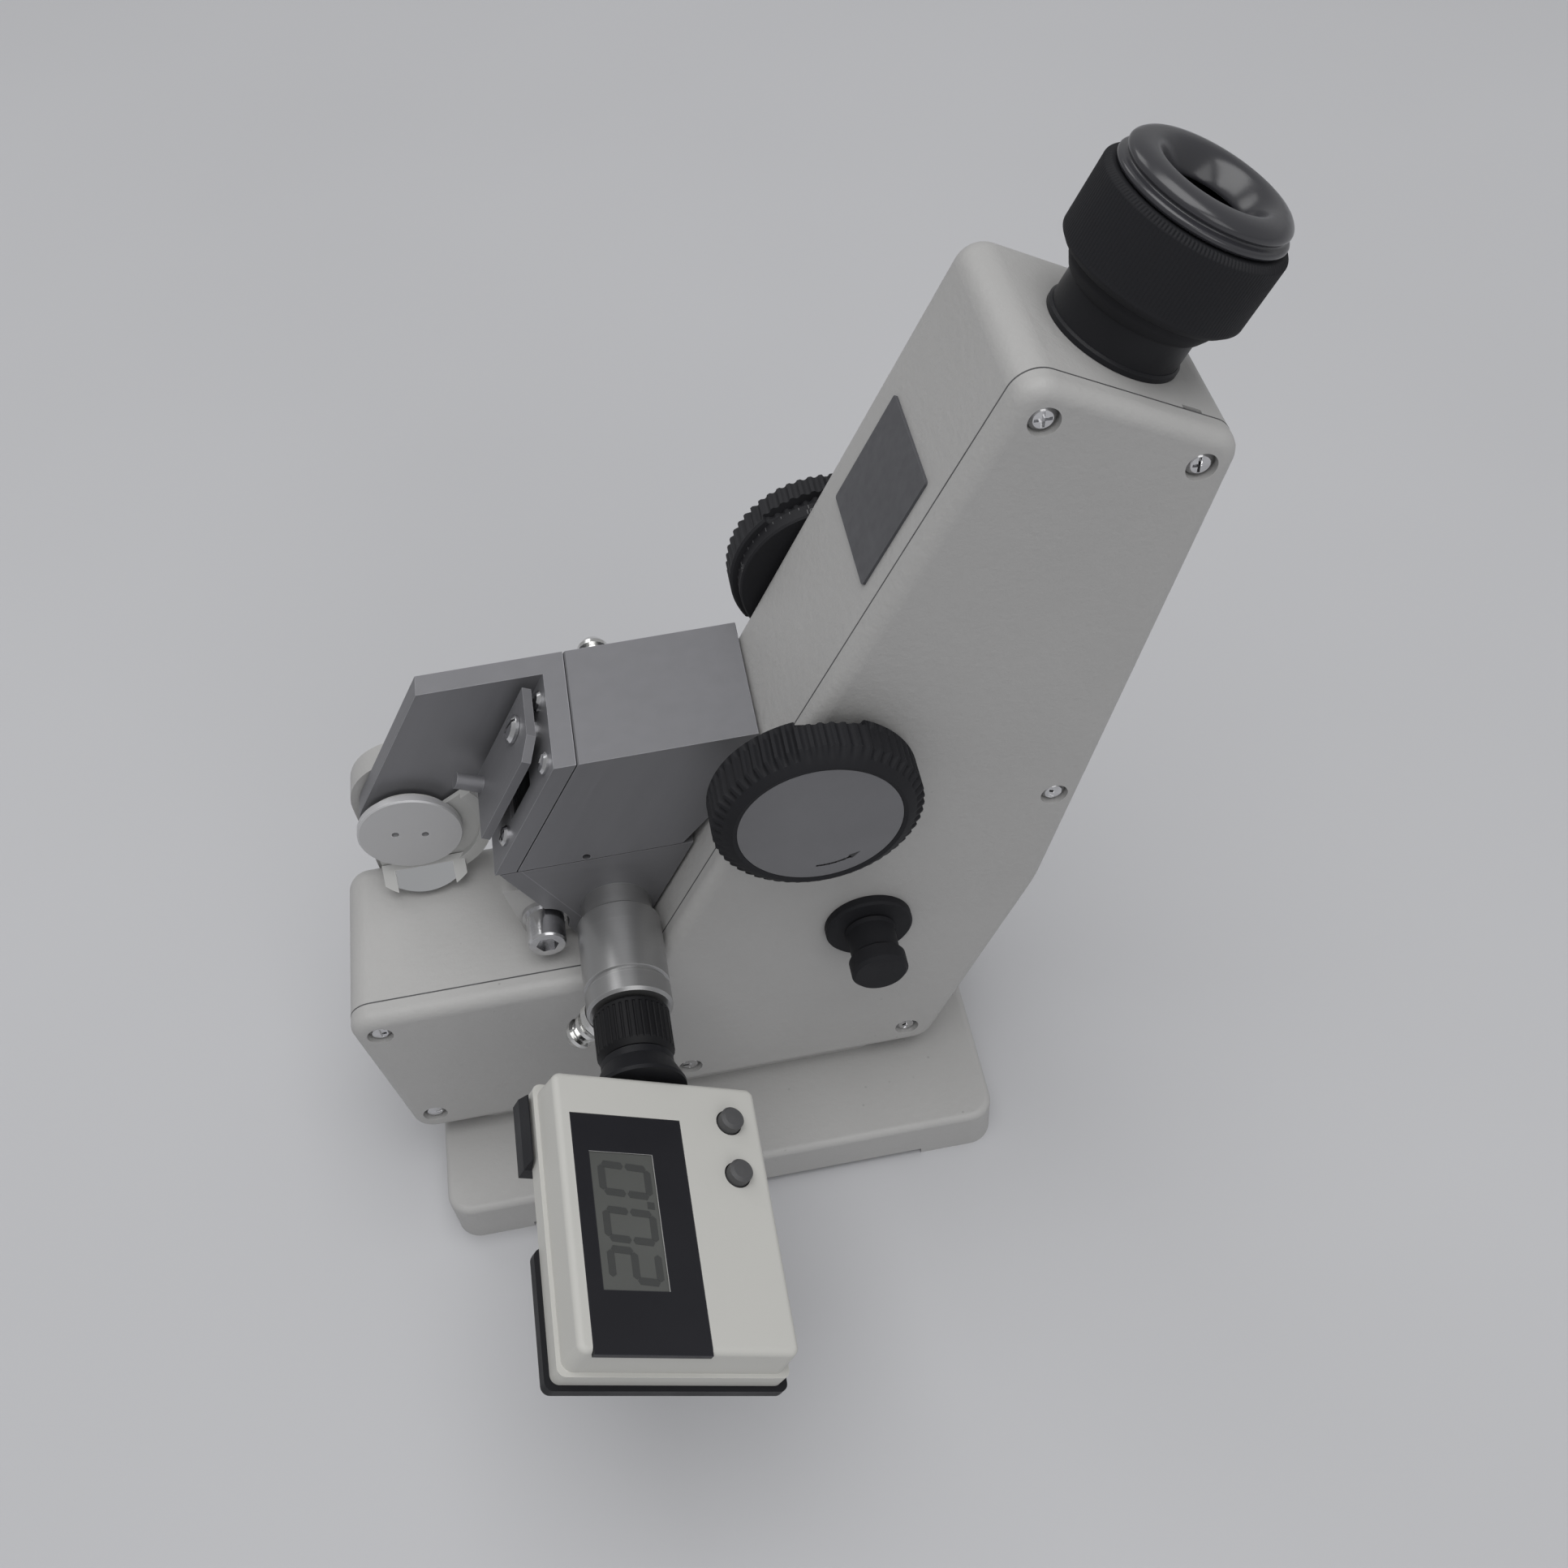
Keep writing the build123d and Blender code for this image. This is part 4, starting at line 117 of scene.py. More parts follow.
class Shader:
    """One procedural material, with short ways to add its nodes."""

    def __init__(self, title: str) -> None:
        """Starts a material with a plain surface shader.

        Args:
            title: the material's name.
        """
        self.material = bpy.data.materials.new(title)
        self.material.use_nodes = True
        self.tree = self.material.node_tree
        self.surface = self.tree.nodes["Principled BSDF"]
        self.place = self.add("ShaderNodeTexCoord").outputs["Object"]

    def add(self, kind: str, **settings: object) -> bpy.types.Node:
        """Adds a node.

        Args:
            kind: Blender's name of the node.
            settings: the node's own options.

        Returns:
            The node.
        """
        node = self.tree.nodes.new(kind)
        for name, value in settings.items():
            setattr(node, name, value)
        return node

    def feed(self, socket: Socket, value: object) -> None:
        """Links a socket to an output, or sets it to a plain value.

        Args:
            socket: the input.
            value: an output, a number, a colour or a triple.
        """
        if isinstance(value, bpy.types.NodeSocket):
            self.tree.links.new(value, socket)
        else:
            socket.default_value = value

    def set(self, **values: object) -> None:
        """Sets or links the surface shader's sockets; an underscore stands for a space."""
        for name, value in values.items():
            self.feed(self.surface.inputs[name.replace("_", " ")], value)

    def placed(self, centre: Triple = (0, 0, 0), turn: Triple = (0, 0, 0),
               stretch: Triple = (1, 1, 1)) -> Socket:
        """Moves, turns and stretches the object's coordinates.

        Args:
            centre: the point that becomes the origin, in metres.
            turn: angles about X, Y and Z, in radians.
            stretch: how much closer the pattern comes along each turned axis.

        Returns:
            The new coordinates.
        """
        moved = self.add("ShaderNodeVectorMath", operation="SUBTRACT")
        self.feed(moved.inputs[0], self.place)
        moved.inputs[1].default_value = centre
        mapping = self.add("ShaderNodeMapping", vector_type="TEXTURE")
        self.feed(mapping.inputs["Vector"], moved.outputs[0])
        mapping.inputs["Rotation"].default_value = turn
        mapping.inputs["Scale"].default_value = tuple(1 / share for share in stretch)
        return mapping.outputs[0]

    def noise(self, scale: float, detail: float = 3.0, where: Socket | None = None,
              rough: float = 0.5) -> Socket:
        """Adds cloudy noise, from 0 to 1.

        Args:
            scale: features per metre.
            detail: how many finer layers it has.
            where: the coordinates, or none for the object's own.
            rough: how strong the finer layers are.

        Returns:
            The noise.
        """
        node = self.add("ShaderNodeTexNoise")
        self.feed(node.inputs["Vector"], where or self.place)
        node.inputs["Scale"].default_value = scale
        node.inputs["Detail"].default_value = detail
        node.inputs["Roughness"].default_value = rough
        return node.outputs["Fac"]

    def specks(self, scale: float, size: float) -> Socket:
        """Adds round specks: 1 in their middle, 0 outside.

        Args:
            scale: cells per metre, each with one speck.
            size: a speck's radius as a share of its cell.

        Returns:
            The specks.
        """
        node = self.add("ShaderNodeTexVoronoi")
        self.feed(node.inputs["Vector"], self.place)
        node.inputs["Scale"].default_value = scale
        return self.spread(node.outputs["Distance"], 1.0, 0.0, size * 0.5, size)

    def spread(self, value: Socket, low: float, high: float, from_low: float = 0.3,
               from_high: float = 0.7) -> Socket:
        """Maps a value from one range to another, held at its ends.

        Args:
            value: the output to map.
            low: the result at the first range's low end.
            high: the result at its high end.
            from_low: the first range's low end.
            from_high: its high end.

        Returns:
            The mapped value.
        """
        node = self.add("ShaderNodeMapRange")
        self.feed(node.inputs["Value"], value)
        node.inputs["From Min"].default_value = from_low
        node.inputs["From Max"].default_value = from_high
        node.inputs["To Min"].default_value = low
        node.inputs["To Max"].default_value = high
        return node.outputs["Result"]

    def mixed(self, share: Socket, first: object, second: object) -> Socket:
        """Mixes two colours.

        Args:
            share: how much of the second colour there is.
            first: a colour, as a triple or an output.
            second: the other colour.

        Returns:
            The mixed colour.
        """
        node = self.add("ShaderNodeMix", data_type="RGBA")
        self.feed(node.inputs["Factor"], share)
        for socket, colour in zip(MIXED_COLOURS, (first, second)):
            plain = not isinstance(colour, bpy.types.NodeSocket)
            self.feed(node.inputs[socket], (*colour, 1.0) if plain else colour)
        return node.outputs[MIX_RESULT]

    def maths(self, operation: str, first: Socket, second: object = 0.0) -> Socket:
        """Combines two numbers.

        Args:
            operation: Blender's name of the sum.
            first: an output.
            second: an output or a number.

        Returns:
            The result.
        """
        node = self.add("ShaderNodeMath", operation=operation)
        self.feed(node.inputs[0], first)
        self.feed(node.inputs[1], second)
        return node.outputs[0]

    def relief(self, height: Socket, depth: float, under: Socket | None = None) -> Socket:
        """Turns a height from 0 to 1 into relief.

        Args:
            height: the height.
            depth: how deep the relief is, in metres.
            under: relief that this one lies on, or none.

        Returns:
            The normals of the relief.
        """
        node = self.add("ShaderNodeBump")
        self.feed(node.inputs["Height"], height)
        node.inputs["Distance"].default_value = depth
        if under is not None:
            self.feed(node.inputs["Normal"], under)
        return node.outputs["Normal"]

    def worn_edges(self, radius: float, sharp: float = 0.80, flat: float = 0.985) -> Socket:
        """Marks edges for a painted highlight, by how far the normal differs from one rounded
        within a radius.

        Args:
            radius: how far from an edge it shows, in metres.
            sharp: the cosine between the two normals that counts as a full edge.
            flat: the cosine from which a place counts as flat.

        Returns:
            1 on edges and 0 on flat places.
        """
        rounded = self.add("ShaderNodeBevel", samples=4)
        rounded.inputs["Radius"].default_value = radius
        facing = self.add("ShaderNodeNewGeometry").outputs["True Normal"]
        compared = self.add("ShaderNodeVectorMath", operation="DOT_PRODUCT")
        self.feed(compared.inputs[0], rounded.outputs[0])
        self.feed(compared.inputs[1], facing)
        return self.spread(compared.outputs["Value"], 1.0, 0.0, sharp, flat)


def shade_of(colour: Triple, share: float) -> Triple:
    """Gives the colour made lighter or darker by a share."""
    return tuple(min(1.0, max(0.0, part * (1 + share))) for part in colour)


@dataclass(frozen=True)
class Finish:
    """A finish of one kind of surface, and the record's slot that it belongs to.

    Lengths are in metres, and scales in features per metre.
    """

    slot: str
    colour: Triple
    roughness: float = 0.5
    metallic: float = 0.0
    mottle: float = 0.06
    mottle_scale: float = 28.0
    gloss_change: float = 0.06
    gloss_closeness: float = 3.1
    grain_depth: float = 0.00002
    grain_scale: float = 1500.0
    # The next two set the painted highlight on edges: how far it reaches, and how much lighter it
    # makes them.
    edge: float = 0.0
    edge_gain: float = 0.35
    gloss: float = 0.5

    def build(self, title: str) -> bpy.types.Material:
        """Makes the material.

        Args:
            title: the material's name.

        Returns:
            The material.
        """
        shader = Shader(title)
        shader.set(Specular_IOR_Level=self.gloss)
        self.paint(shader)
        return shader.material

    def paint(self, shader: Shader) -> None:
        """Gives a slightly cloudy colour with a painted highlight on edges, uneven gloss and a
        fine grain.

        Args:
            shader: the material's shader.
        """
        cloud = shader.noise(self.mottle_scale, 4.0)
        self.colour_by(shader, cloud)
        self.vary_gloss(shader, shader.noise(self.mottle_scale * self.gloss_closeness, 3.0))
        grain = shader.noise(self.grain_scale, 2.0)
        shader.set(Normal=shader.relief(grain, self.grain_depth))

    def colour_by(self, shader: Shader, cloud: Socket) -> None:
        """Sets the colour, clouded by a cloud, and how metallic it is."""
        shader.set(Base_Color=self.toned(shader, cloud), Metallic=self.metallic)

    def vary_gloss(self, shader: Shader, cloud: Socket) -> None:
        """Spreads the roughness about its middle by a cloud."""
        shader.set(Roughness=shader.spread(cloud, self.roughness - self.gloss_change,
                                           self.roughness + self.gloss_change))

    def toned(self, shader: Shader, cloud: Socket) -> Socket:
        """Mixes the colour's darker and lighter tones, and lightens edges as a painted highlight.

        Args:
            shader: the material's shader.
            cloud: how the tones lie.

        Returns:
            The colour.
        """
        share = shader.spread(cloud, 0.0, 1.0)
        tone = shader.mixed(share, shade_of(self.colour, -self.mottle),
                            shade_of(self.colour, self.mottle))
        if self.edge > 0:
            # painted highlight: edges are lightened as if they caught the light
            edges = shader.worn_edges(self.edge)
            tone = shader.mixed(edges, tone, shade_of(self.colour, self.edge_gain))
        return tone


@dataclass(frozen=True)
class CastPaint(Finish):
    """Hard paint over a casting, with low lumps and small flecks."""

    lump_depth: float = 0.00014
    lump_scale: float = 560.0
    gloss_scale: float = 90.0
    fleck_scale: float = 260.0
    fleck_size: float = 0.10
    fleck_darkness: float = 0.35
    patch_scale: float = 19.0
    patch_from: float = 0.56
    patch_full: float = 0.7

    def paint(self, shader: Shader) -> None:
        """Gives cloudy paint with orange-peel lumps, a grain and patches of dark flecks.

        Args:
            shader: the material's shader.
        """
        tone = self.toned(shader, shader.noise(self.mottle_scale, 5.0))
        patch = shader.spread(shader.noise(self.patch_scale, 2.0), 0.0, 1.0,
                              self.patch_from, self.patch_full)
        flecks = shader.maths("MULTIPLY", shader.specks(self.fleck_scale, self.fleck_size), patch)
        dark = shade_of(self.colour, -self.fleck_darkness)
        shader.set(Base_Color=shader.mixed(flecks, tone, dark))
        self.vary_gloss(shader, shader.noise(self.gloss_scale, 3.0))
        lumps = shader.noise(self.lump_scale, 4.0, rough=TOOL_MARKS)
        grain = shader.noise(self.grain_scale, 2.0)
        shader.set(Normal=shader.relief(grain, self.grain_depth,
                                        shader.relief(lumps, self.lump_depth)))


@dataclass(frozen=True)
class BrushedMetal(Finish):
    """Metal with straight fine lines, which run along the turned X axis."""

    turn: Triple = (0.0, 0.0, 0.0)
    line_scale: float = 3200.0
    line_depth: float = 0.000008
    line_stretch: float = 0.012
    broadness: float = 12.0
    fine_part: float = 0.4
    broad_part: float = 0.3
    cloud_part: float = 0.3

    def paint(self, shader: Shader) -> None:
        """Gives streaks stretched along one direction in colour, gloss and relief.

        Args:
            shader: the material's shader.
        """
        lines = shader.placed(turn=self.turn, stretch=(self.line_stretch, 1.0, 1.0))
        streaks = shader.noise(self.line_scale, 3.0, lines, TOOL_MARKS)
        broad = shader.noise(self.line_scale / self.broadness, 2.0, lines)
        spots = shader.noise(self.mottle_scale, 4.0)
        cloud = shader.maths("ADD", shader.maths("MULTIPLY", streaks, self.fine_part),
                             shader.maths("MULTIPLY", broad, self.broad_part))
        cloud = shader.maths("ADD", cloud, shader.maths("MULTIPLY", spots, self.cloud_part))
        self.colour_by(shader, cloud)
        self.vary_gloss(shader, streaks)
        shader.set(Normal=shader.relief(streaks, self.line_depth))


@dataclass(frozen=True)
class TurnedMetal(Finish):
    """Metal cut on a lathe, with fine rings about an axis."""

    centre: Triple = (0.0, 0.0, 0.0)
    turn: Triple = (0.0, 0.0, 0.0)
    ring_scale: float = 2600.0
    ring_depth: float = 0.000008

    def paint(self, shader: Shader) -> None:
        """Gives rings: noise along the axis and outwards, none round it.

        Args:
            shader: the material's shader.
        """
        local = shader.placed(self.centre, self.turn)
        parts = shader.add("ShaderNodeSeparateXYZ")
        shader.feed(parts.inputs[0], local)
        across = shader.maths("MULTIPLY", parts.outputs[0], parts.outputs[0])
        down = shader.maths("MULTIPLY", parts.outputs[1], parts.outputs[1])
        radius = shader.maths("SQRT", shader.maths("ADD", across, down))
        joined = shader.add("ShaderNodeCombineXYZ")
        shader.feed(joined.inputs[0], radius)
        shader.feed(joined.inputs[2], parts.outputs[2])
        rings = shader.noise(self.ring_scale, 3.0, joined.outputs[0], TOOL_MARKS)
        spots = shader.noise(self.mottle_scale, 3.0)
        cloud = shader.maths("MULTIPLY", shader.maths("ADD", rings, spots), 0.5)
        self.colour_by(shader, cloud)
        self.vary_gloss(shader, rings)
        shader.set(Normal=shader.relief(rings, self.ring_depth))


@dataclass(frozen=True)
class ClearGlass(Finish):
    """Polished optical glass with a faint surface haze."""

    clear: float = 1.0
    bend: float = 1.52

    def paint(self, shader: Shader) -> None:
        """Gives see-through glass whose gloss changes a little with haze.

        Args:
            shader: the material's shader.
        """
        haze = shader.noise(self.mottle_scale, 4.0)
        shader.set(Base_Color=self.toned(shader, haze), Transmission_Weight=self.clear,
                   IOR=self.bend)
        self.vary_gloss(shader, haze)


@dataclass(frozen=True)
class CrystalWindow(Finish):
    """The display's window: smoky glass over a plain grey reflector."""

    coat: float = 0.4
    coat_roughness: float = 0.12

    def paint(self, shader: Shader) -> None:
        """Gives a cloudy grey-green field under a glossy coat.

        Args:
            shader: the material's shader.
        """
        cloud = shader.noise(self.mottle_scale, 3.0)
        shader.set(Base_Color=self.toned(shader, cloud), Coat_Weight=self.coat,
                   Coat_Roughness=self.coat_roughness)
        self.vary_gloss(shader, cloud)
        shader.set(Normal=shader.relief(shader.noise(self.grain_scale, 1.0), self.grain_depth))


made_materials: dict[str, bpy.types.Material] = {}


class Surface(Enum):
    """The named finishes of the instrument."""

    CAST_PAINT = CastPaint("cast_paint", (0.428, 0.424, 0.418), 0.46, mottle=0.02,
                           edge=0.0006, edge_gain=0.04, gloss=0.4)
    PRISM_METAL = BrushedMetal("prism_metal", (0.225, 0.225, 0.238), 0.50, 0.60, mottle=0.07,
                               edge=0.00025, edge_gain=0.9,
                               turn=(0.0, math.radians(-60.0), 0.0))
    FLAT_METAL = BrushedMetal("prism_metal", (0.210, 0.210, 0.221), 0.52, 0.6, mottle=0.07,
                              edge=0.00025, edge_gain=0.9)
    SOCKET_METAL = TurnedMetal("prism_metal", (0.37, 0.37, 0.372), 0.34, 0.85, edge=0.0003,
                               edge_gain=0.6, turn=LATHE_ALONG_Y,
                               centre=(PROBE_XZ[0] * MM, 0.0, PROBE_XZ[1] * MM))
    CAP_METAL = TurnedMetal("prism_metal", (0.56, 0.56, 0.57), 0.48, 0.5, mottle=0.03,
                            edge=0.0003, edge_gain=0.5, turn=LATHE_ALONG_Y,
                            centre=(HINGE_XZ[0] * MM, 0.0, HINGE_XZ[1] * MM))
    DISC_METAL = Finish("prism_metal", (0.205, 0.205, 0.215), 0.55, 0.6, mottle=0.04,
                        grain_depth=0.000012, grain_scale=4200.0)
    MECHANISM_METAL = Finish("mechanism_metal", (0.52, 0.52, 0.53), 0.38, 0.9, edge=0.0003)
    BLACKENED_METAL = Finish("blackened", (0.0115, 0.0118, 0.0142), 0.42, edge=0.0003,
                             edge_gain=0.9, gloss=0.25)
    BRIGHT_STEEL = Finish("bright_steel", (0.62, 0.62, 0.63), 0.20, 1.0, mottle=0.12,
                          mottle_scale=260.0, edge=0.0002)
    PLAIN_STEEL = Finish("plain_steel", (0.48, 0.48, 0.49), 0.33, 1.0, mottle=0.10,
                         mottle_scale=120.0, edge=0.0003)
    HOSE_METAL = Finish("hose_brass", (0.72, 0.72, 0.71), 0.17, 1.0, mottle_scale=200.0,
                        edge=0.0002)
    KNOB_BLACK = Finish("knob_black", (0.0118, 0.0120, 0.0145), 0.68, mottle=0.12,
                        grain_scale=1900.0, gloss=0.28)
    SHELL_BLACK = Finish("shell_black", (0.011, 0.0112, 0.0135), 0.45, mottle=0.10,
                         grain_scale=2400.0, gloss=0.25)
    WHEEL_BLACK = Finish("knob_black", (0.0210, 0.0212, 0.0240), 0.66, mottle=0.12,
                         grain_scale=1900.0, gloss=0.28)
    NUT_BLACK = Finish("knob_black", (0.0060, 0.0060, 0.0072), 0.52, mottle=0.10, gloss=0.25)
    RING_BLACK = Finish("ring_black", (0.0140, 0.0140, 0.0165), 0.6, mottle=0.12, gloss=0.3)
    EYECUP_RUBBER = Finish("eyecup_rubber", (0.032, 0.032, 0.037), 0.23, mottle=0.10,
                           gloss_change=0.05, grain_scale=500.0, gloss=0.7)
    CASE_PLASTIC = Finish("case_plastic", (0.540, 0.536, 0.510), 0.52, mottle=0.015,
                          grain_depth=0.000015, grain_scale=2200.0, edge=0.0005,
                          edge_gain=0.05, gloss=0.25)
    POLYMER_WHITE = Finish("polymer_white", (0.50, 0.50, 0.49), mottle=0.03,
                           grain_depth=0.00003, grain_scale=1600.0, edge=0.0004,
                           edge_gain=0.08)
    BUTTON_PLASTIC = Finish("button_plastic", (0.075, 0.075, 0.078), 0.55, mottle=0.05,
                            grain_scale=2400.0, edge=0.0003, edge_gain=0.2)
    PANEL_DARK = Finish("panel_dark", (0.0145, 0.0145, 0.0180), 0.36, mottle=0.08,
                        grain_depth=0.000004, grain_scale=3000.0, edge=0.0003,
                        edge_gain=1.2, gloss=0.3)
    BADGE_DARK = Finish("badge_dark", (0.074, 0.075, 0.082), 0.45, mottle_scale=160.0,
                        grain_depth=0.00001, edge=0.0003, edge_gain=0.5)
    BOARD_GREEN = Finish("board_green", (0.03, 0.16, 0.08), 0.35, mottle=0.15)
    CRYSTAL_WINDOW = CrystalWindow("lcd_glass", (0.085, 0.088, 0.083), 0.36, mottle=0.05,
                                   mottle_scale=70.0, grain_depth=0.000004,
                                   grain_scale=2600.0)
    DISPLAY_SEGMENT = Finish("lcd_glass", (0.052, 0.054, 0.053), 0.35, mottle=0.05)
    # painted highlight: a light grey strip stands in for light on the window's cut edge
    WINDOW_EDGE = Finish("lcd_glass", (0.36, 0.36, 0.35), 0.25, mottle=0.1)
    OPTICAL_GLASS = ClearGlass("optical_glass", (0.93, 0.95, 0.95), 0.03, mottle=0.02,
                               gloss_change=0.02)
    FROSTED_GLASS = ClearGlass("frosted_glass", (0.80, 0.82, 0.83), 0.45, mottle=0.04,
                               clear=0.7)
    SILVERED_GLASS = Finish("silvered", (0.80, 0.81, 0.82), 0.04, 1.0, mottle=0.02,
                            gloss_change=0.02, grain_depth=0.0)
    JOINT_SEAM = Finish("cast_paint", (0.075, 0.075, 0.078), 0.6, mottle=0.25,
                        mottle_scale=180.0)
    INK_BLACK = Finish("prism_metal", (0.018, 0.018, 0.02), 0.45, mottle=0.15)
    INK_WHITE = Finish("ring_black", (0.13, 0.13, 0.135), mottle=0.05)

    def material(self) -> bpy.types.Material:
        """Gives the finish's material, made the first time it is asked for.

        Returns:
            The material.
        """
        if self.name not in made_materials:
            made_materials[self.name] = self.value.build(self.name.lower())
        return made_materials[self.name]


def dress(surface: Surface, *nodes: str) -> None:
    """Gives solids of the frame a finish.

    Args:
        surface: the finish.
        nodes: the names of the solids.
    """
    for node in nodes:
        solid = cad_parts[node]
        if not solid.material_slots:
            solid.data.materials.append(None)
        for place in solid.material_slots:
            place.material = surface.material()
        log.info("dressed %s in %s", node, surface.name.lower())


# ---- surfaces
MERGE_GAP = 0.002           # points nearer than this become one, in millimetres
SLIVER = 0.001              # and edges shorter than this go
SIDE_SHARE = 0.48           # how much of a side a softened corner may take
FONT_PER_HEIGHT = 1.4       # the font's size for numerals of height one


def ring_quads(rows: int, columns: int) -> list:
    """Numbers the corners of every cell of a grid that closes on itself both ways.

    A point's number is its row * columns + its column, and a cell's corners are a point,
    the next in its row, and the same two of the next row in turn.

    Args:
        rows: how many rows of points.
        columns: how many points in a row.

    Returns:
        Lists of four corner numbers, in order round each cell.
    """
    row, column = np.arange(rows)[:, None], np.arange(columns)[None, :]
    below, beside = (row + 1) % rows, (column + 1) % columns
    corners = [row * columns + column, row * columns + beside,
               below * columns + beside, below * columns + column]
    return np.stack(corners, axis=-1).reshape(-1, 4).tolist()


def make_piece(name: str, points: Array, faces: list, surface: Surface,
               body: str, smooth_angle: float = 32.0) -> bpy.types.Object:
    """Makes a piece of the model from points in millimetres, and lets it ride on a body.

    Points that coincide are merged, which closes seams and poles, and the faces are
    turned outwards by the sign of the enclosed volume.

    Args:
        name: the piece's name.
        points: an array of places, in millimetres.
        faces: corner numbers of each face.
        surface: its finish.
        body: the body of the frame that carries it.
        smooth_angle: edges sharper than this many degrees stay sharp.

    Returns:
        The new object.
    """
    mesh = bpy.data.meshes.new(name)
    mesh.from_pydata((points * MM).tolist(), [], faces)
    worked = bmesh.new()
    worked.from_mesh(mesh)
    bmesh.ops.remove_doubles(worked, verts=worked.verts, dist=MERGE_GAP * MM)
    bmesh.ops.dissolve_degenerate(worked, edges=worked.edges, dist=SLIVER * MM)
    bmesh.ops.recalc_face_normals(worked, faces=worked.faces)
    if worked.calc_volume(signed=True) < 0:
        bmesh.ops.reverse_faces(worked, faces=worked.faces)
    worked.to_mesh(mesh)
    worked.free()
    mesh.polygons.foreach_set("use_smooth", np.ones(len(mesh.polygons), bool))
    mesh.set_sharp_from_angle(angle=math.radians(smooth_angle))
    mesh.materials.append(surface.material())
    piece = put_in_scene(name, mesh)
    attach(piece, body)
    log.info("made %s on %s", name, body)
    return piece


def softened(corners: Array, reach: float, steps: int) -> Array:
    """Rounds the corners of a closed outline.

    Each corner C becomes the curve (1-t)^2 A + 2t(1-t) C + t^2 B, where A and B lie on
    its two sides, at the reach or at SIDE_SHARE of the side, whichever is nearer.

    Args:
        corners: pairs along the outline.
        reach: how far from each corner the curve starts.
        steps: points per corner.

    Returns:
        The pairs of the rounded outline.
    """
    before, after = np.roll(corners, 1, axis=0), np.roll(corners, -1, axis=0)
    ends = []
    for other in (before, after):
        side = other - corners
        length = np.maximum(np.linalg.norm(side, axis=1, keepdims=True), TINY)
        ends.append(corners + side / length * np.minimum(reach, SIDE_SHARE * length))
    t = np.linspace(0, 1, steps)[None, :, None]
    curve = ((1 - t) ** 2 * ends[0][:, None] + 2 * t * (1 - t) * corners[:, None]
             + t ** 2 * ends[1][:, None])
    return curve.reshape(-1, 2)


def rounded_outline(corners: Array, radii: Array, steps: int = 14) -> Array:
    """Rounds a closed outline with true arcs.

    A corner's arc has its centre on the bisector, at radius / sin(half angle), and runs
    between the points at radius / tan(half angle) along its two sides.

    Args:
        corners: pairs of the outline.
        radii: the radius at each corner.
        steps: points per arc.

    Returns:
        The pairs of the rounded outline.
    """
    back = np.roll(corners, 1, axis=0) - corners
    ahead = np.roll(corners, -1, axis=0) - corners
    back /= np.linalg.norm(back, axis=1, keepdims=True)
    ahead /= np.linalg.norm(ahead, axis=1, keepdims=True)
    half = np.arccos(np.clip((back * ahead).sum(axis=1), -1, 1)) / 2
    middle = back + ahead
    middle /= np.linalg.norm(middle, axis=1, keepdims=True)
    centre = corners + middle * (radii / np.sin(half))[:, None]
    first = corners + back * (radii / np.tan(half))[:, None] - centre
    last = corners + ahead * (radii / np.tan(half))[:, None] - centre
    start = np.arctan2(first[:, 1], first[:, 0])
    swing = np.arctan2(last[:, 1], last[:, 0]) - start
    swing = (swing + np.pi) % (2 * np.pi) - np.pi
    angle = start[:, None] + swing[:, None] * np.linspace(0, 1, steps)[None, :]
    return (centre[:, None] + radii[:, None, None] * rays(angle)).reshape(-1, 2)


def spun(profile: Array, start: Array, line: Array, turns: int,
         sunk: Callable[[Array, Array, Array], Array] | None = None
         ) -> tuple[Array, list]:
    """Turns a closed profile about a line.

    A point is start + line * height + (side cos a + other sin a) * (radius - sunk), where
    sunk is a depth worked out from the angle, the radius and the height.

    Args:
        profile: pairs of radius and height, in order round a closed section.
        start: the line's start, in millimetres.
        line: the line's direction.
        turns: how many points round the line.
        sunk: the depth of ribs or knurls, from arrays of angle, radius and height.

    Returns:
        The points and the faces.
    """
    guide = FARWARD if abs(line[1]) < 0.5 else RIGHTWARD
    side = guide - line * guide.dot(line)
    side /= np.linalg.norm(side)
    other = np.cross(line, side)
    angle = np.linspace(0, 2 * np.pi, turns, endpoint=False)[None, :]
    radius = np.repeat(profile[:, :1], turns, axis=1)
    height = np.repeat(profile[:, 1:2], turns, axis=1)
    if sunk is not None:
        radius = radius - sunk(angle, radius, height)
    points = (start + line * height[..., None]
              + side * (radius * np.cos(angle))[..., None]
              + other * (radius * np.sin(angle))[..., None])
    return points.reshape(-1, 3), ring_quads(len(profile), turns)


def carried(path: Array, section: Array, y: float) -> tuple[Array, list]:
    """Carries a section along a closed path that lies square to Y.

    A point is path + outward * section's first + (0, y + section's second, 0).

    Args:
        path: pairs of x and z, in order round the path.
        section: pairs of distance outwards and distance along Y, round a closed section.
        y: the path's place along Y, in millimetres.

    Returns:
        The points and the faces.
    """
    forward = np.roll(path, -1, axis=0) - np.roll(path, 1, axis=0)
    forward /= np.maximum(np.linalg.norm(forward, axis=1, keepdims=True), TINY)
    outward = np.stack([forward[:, 1], -forward[:, 0]], axis=1)
    area = 0.5 * (path[:, 0] * np.roll(path[:, 1], -1) - np.roll(path[:, 0], -1) * path[:, 1])
    if area.sum() < 0:
        outward = -outward
    flat = path[:, None] + outward[:, None] * section[None, :, :1]
    depth = np.broadcast_to(y + section[None, :, 1], flat.shape[:2])
    points = np.stack([flat[..., 0], depth, flat[..., 1]], axis=-1)
    return points.reshape(-1, 3), ring_quads(len(path), len(section))


